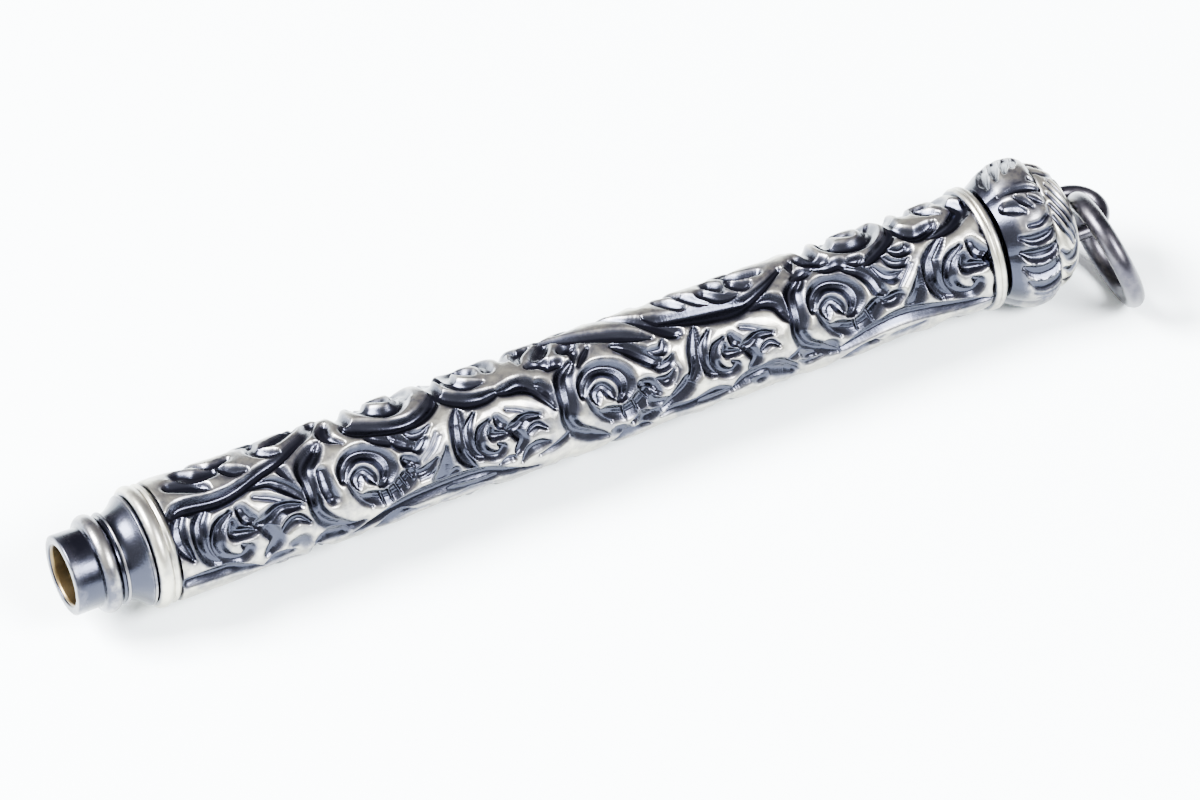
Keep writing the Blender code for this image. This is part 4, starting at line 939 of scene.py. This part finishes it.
def plain_silver():
    """Grey tarnished silver wire, rubbed brighter in places."""
    made = Finish("plain_silver")
    film = made.noise(1.3, 4.0, 0.6)
    grain = made.noise(0.12, 3.0, 0.6)
    rubbed = film.between(0.40, 0.68)
    tone = made.mix(rubbed, colour(0.035, 0.033, 0.042), colour(0.075, 0.07, 0.08))
    made.settle(base_color=tone, metallic=1.0,
                roughness=0.24 + 0.12 * grain + 0.04 * rubbed,
                normal=made.bump(0.6 * film + 0.3 * grain, 0.010))
    return made


def turned_metal(name, clean, dull, roughness):
    """Turned metal: fine tool lines round the axis and a cloudy film."""
    made = Finish(name)
    lines = made.noise(0.05, 2.0, 0.5, made.stretched((1.0, 0.06, 0.06)))
    film = made.noise(1.6, 3.0, 0.55)
    tone = made.mix(film.between(0.38, 0.70), colour(*clean), colour(*dull))
    made.settle(base_color=tone, metallic=1.0, roughness=roughness + 0.10 * film + 0.06 * lines,
                normal=made.bump(0.6 * lines + 0.3 * film, 0.006))
    return made


def cork():
    """Cork: pale grains with darker cracks between them."""
    made = Finish("cork")
    cells = made.node("ShaderNodeTexVoronoi", {"feature": "DISTANCE_TO_EDGE"},
                      {"Vector": made.where(), "Scale": 1.0 / (0.35 * MM)})
    grain = Value(made, cells.outputs["Distance"]).between(0.0, 0.22)
    speck = made.noise(0.25, 3.0, 0.6)
    made.settle(base_color=made.mix(grain * speck.between(0.25, 0.6), colour(0.20, 0.10, 0.045),
                                    colour(0.56, 0.37, 0.20)), roughness=0.80 + 0.15 * speck,
                normal=made.bump(grain + 0.4 * speck, 0.03))
    return made


# ---------------------------------------------------------------- studio
def make_floor():
    """A plain pale table, large enough for the light to fall off softly."""
    finish = Finish("table")
    soft = finish.noise(30.0, 2.0, 0.5)
    darker = [0.99 * c for c in FLOOR_COLOUR]
    finish.settle(base_color=finish.mix(soft, colour(*FLOOR_COLOUR), colour(*darker)), roughness=0.9,
                  metallic=0.0)
    mesh = bpy.data.meshes.new("table")
    size = 3.0
    mesh.from_pydata([(-size, -size, 0.0), (size, -size, 0.0), (size, size, 0.0), (-size, size, 0.0)], [],
                     [(0, 1, 2, 3)])
    floor = bpy.data.objects.new("table", mesh)
    bpy.context.scene.collection.objects.link(floor)
    finish.put_on(floor)


def soft_light(name, place, aim, width, height, power, tint=(1.0, 1.0, 1.0)):
    light = bpy.data.lights.new(name, "AREA")
    light.shape = "RECTANGLE"
    light.size, light.size_y, light.energy, light.color = width, height, power, tint
    lamp = bpy.data.objects.new(name, light)
    lamp.location = place
    lamp.rotation_euler = (Vector(aim) - Vector(place)).to_track_quat("-Z", "Y").to_euler()
    bpy.context.scene.collection.objects.link(lamp)


def make_studio():
    """A pale room: darker behind the table, and dark where the maker stands in front of it."""
    world = bpy.data.worlds.new("studio")
    bpy.context.scene.world = world
    world.use_nodes = True
    tree = world.node_tree
    tree.nodes.clear()
    where = tree.nodes.new("ShaderNodeTexCoord").outputs["Generated"]
    tones = []
    for towards, stops in ((TOWARDS_MAKER, MAKER_TONES), (TOWARDS_ROOM, ROOM_TONES)):
        along = tree.nodes.new("ShaderNodeVectorMath")
        along.operation = "DOT_PRODUCT"
        tree.links.new(where, along.inputs[0])
        along.inputs[1].default_value = Vector(towards).normalized()
        ramp = tree.nodes.new("ShaderNodeValToRGB")
        while len(ramp.color_ramp.elements) < len(stops):
            ramp.color_ramp.elements.new(1.0)
        for element, (place, tone) in zip(ramp.color_ramp.elements, stops):
            element.position = place
            element.color = (*tone, 1.0)
        tree.links.new(along.outputs["Value"], ramp.inputs[0])
        tones.append(ramp.outputs[0])
    both = tree.nodes.new("ShaderNodeVectorMath")
    both.operation = "MULTIPLY"
    tree.links.new(tones[0], both.inputs[0])
    tree.links.new(tones[1], both.inputs[1])
    light = tree.nodes.new("ShaderNodeBackground")
    tree.links.new(both.outputs[0], light.inputs["Color"])
    tree.links.new(light.outputs[0], tree.nodes.new("ShaderNodeOutputWorld").inputs["Surface"])


def make_camera():
    sight = bpy.data.cameras.new("camera")
    sight.sensor_width, sight.lens = 36.0, CAMERA_LENS
    sight.clip_start, sight.clip_end = 0.01, 20.0
    camera = bpy.data.objects.new("camera", sight)
    level = math.cos(CAMERA_HEIGHT)
    back = Vector((math.sin(CAMERA_TURN) * level, -math.cos(CAMERA_TURN) * level, math.sin(CAMERA_HEIGHT)))
    camera.location = Vector(CAMERA_AIM) + CAMERA_DISTANCE * back
    camera.rotation_euler = back.to_track_quat("Z", "Y").to_euler()
    bpy.context.scene.collection.objects.link(camera)
    bpy.context.scene.camera = camera


make_camera()
make_studio()
make_floor()
for lamp in LAMPS:
    soft_light(*lamp)

silver = chased_silver("chased_silver", 0.06, 0.80, 0.75)
oxidised = chased_silver("turned_silver", -0.45, 0.90, 1.2)
make_sleeve(silver)
# Brass colours: tarnished, and darkened further as painted shade for the lining deep in the nozzle's bore;
# the hidden brass parts get the same.
brass = turned_metal("brass", (0.12, 0.085, 0.042), (0.045, 0.032, 0.016), 0.26)
make_nozzle(oxidised, brass)
make_beads(silver)
make_head(chased_silver("head_silver", -0.14, 0.75, 0.9))
make_boss(silver)
wire = plain_silver()
make_eye(wire)
make_ring(wire)

metals = {
    "brass": brass,
    "spring_bronze": turned_metal("spring_bronze", (0.55, 0.33, 0.17), (0.30, 0.17, 0.09), 0.30),
    "steel": turned_metal("polished_steel", (0.60, 0.61, 0.63), (0.38, 0.38, 0.40), 0.14),
    "chased_silver": turned_metal("tube_silver", (0.80, 0.78, 0.74), (0.45, 0.44, 0.45), 0.20),
    "plain_silver": wire,
    "cork": cork(),
}
for part in frame["record"]["subparts"]:
    node = frame["nodes"][part["node"]]
    metals[part["material_slot"]].put_on(node)
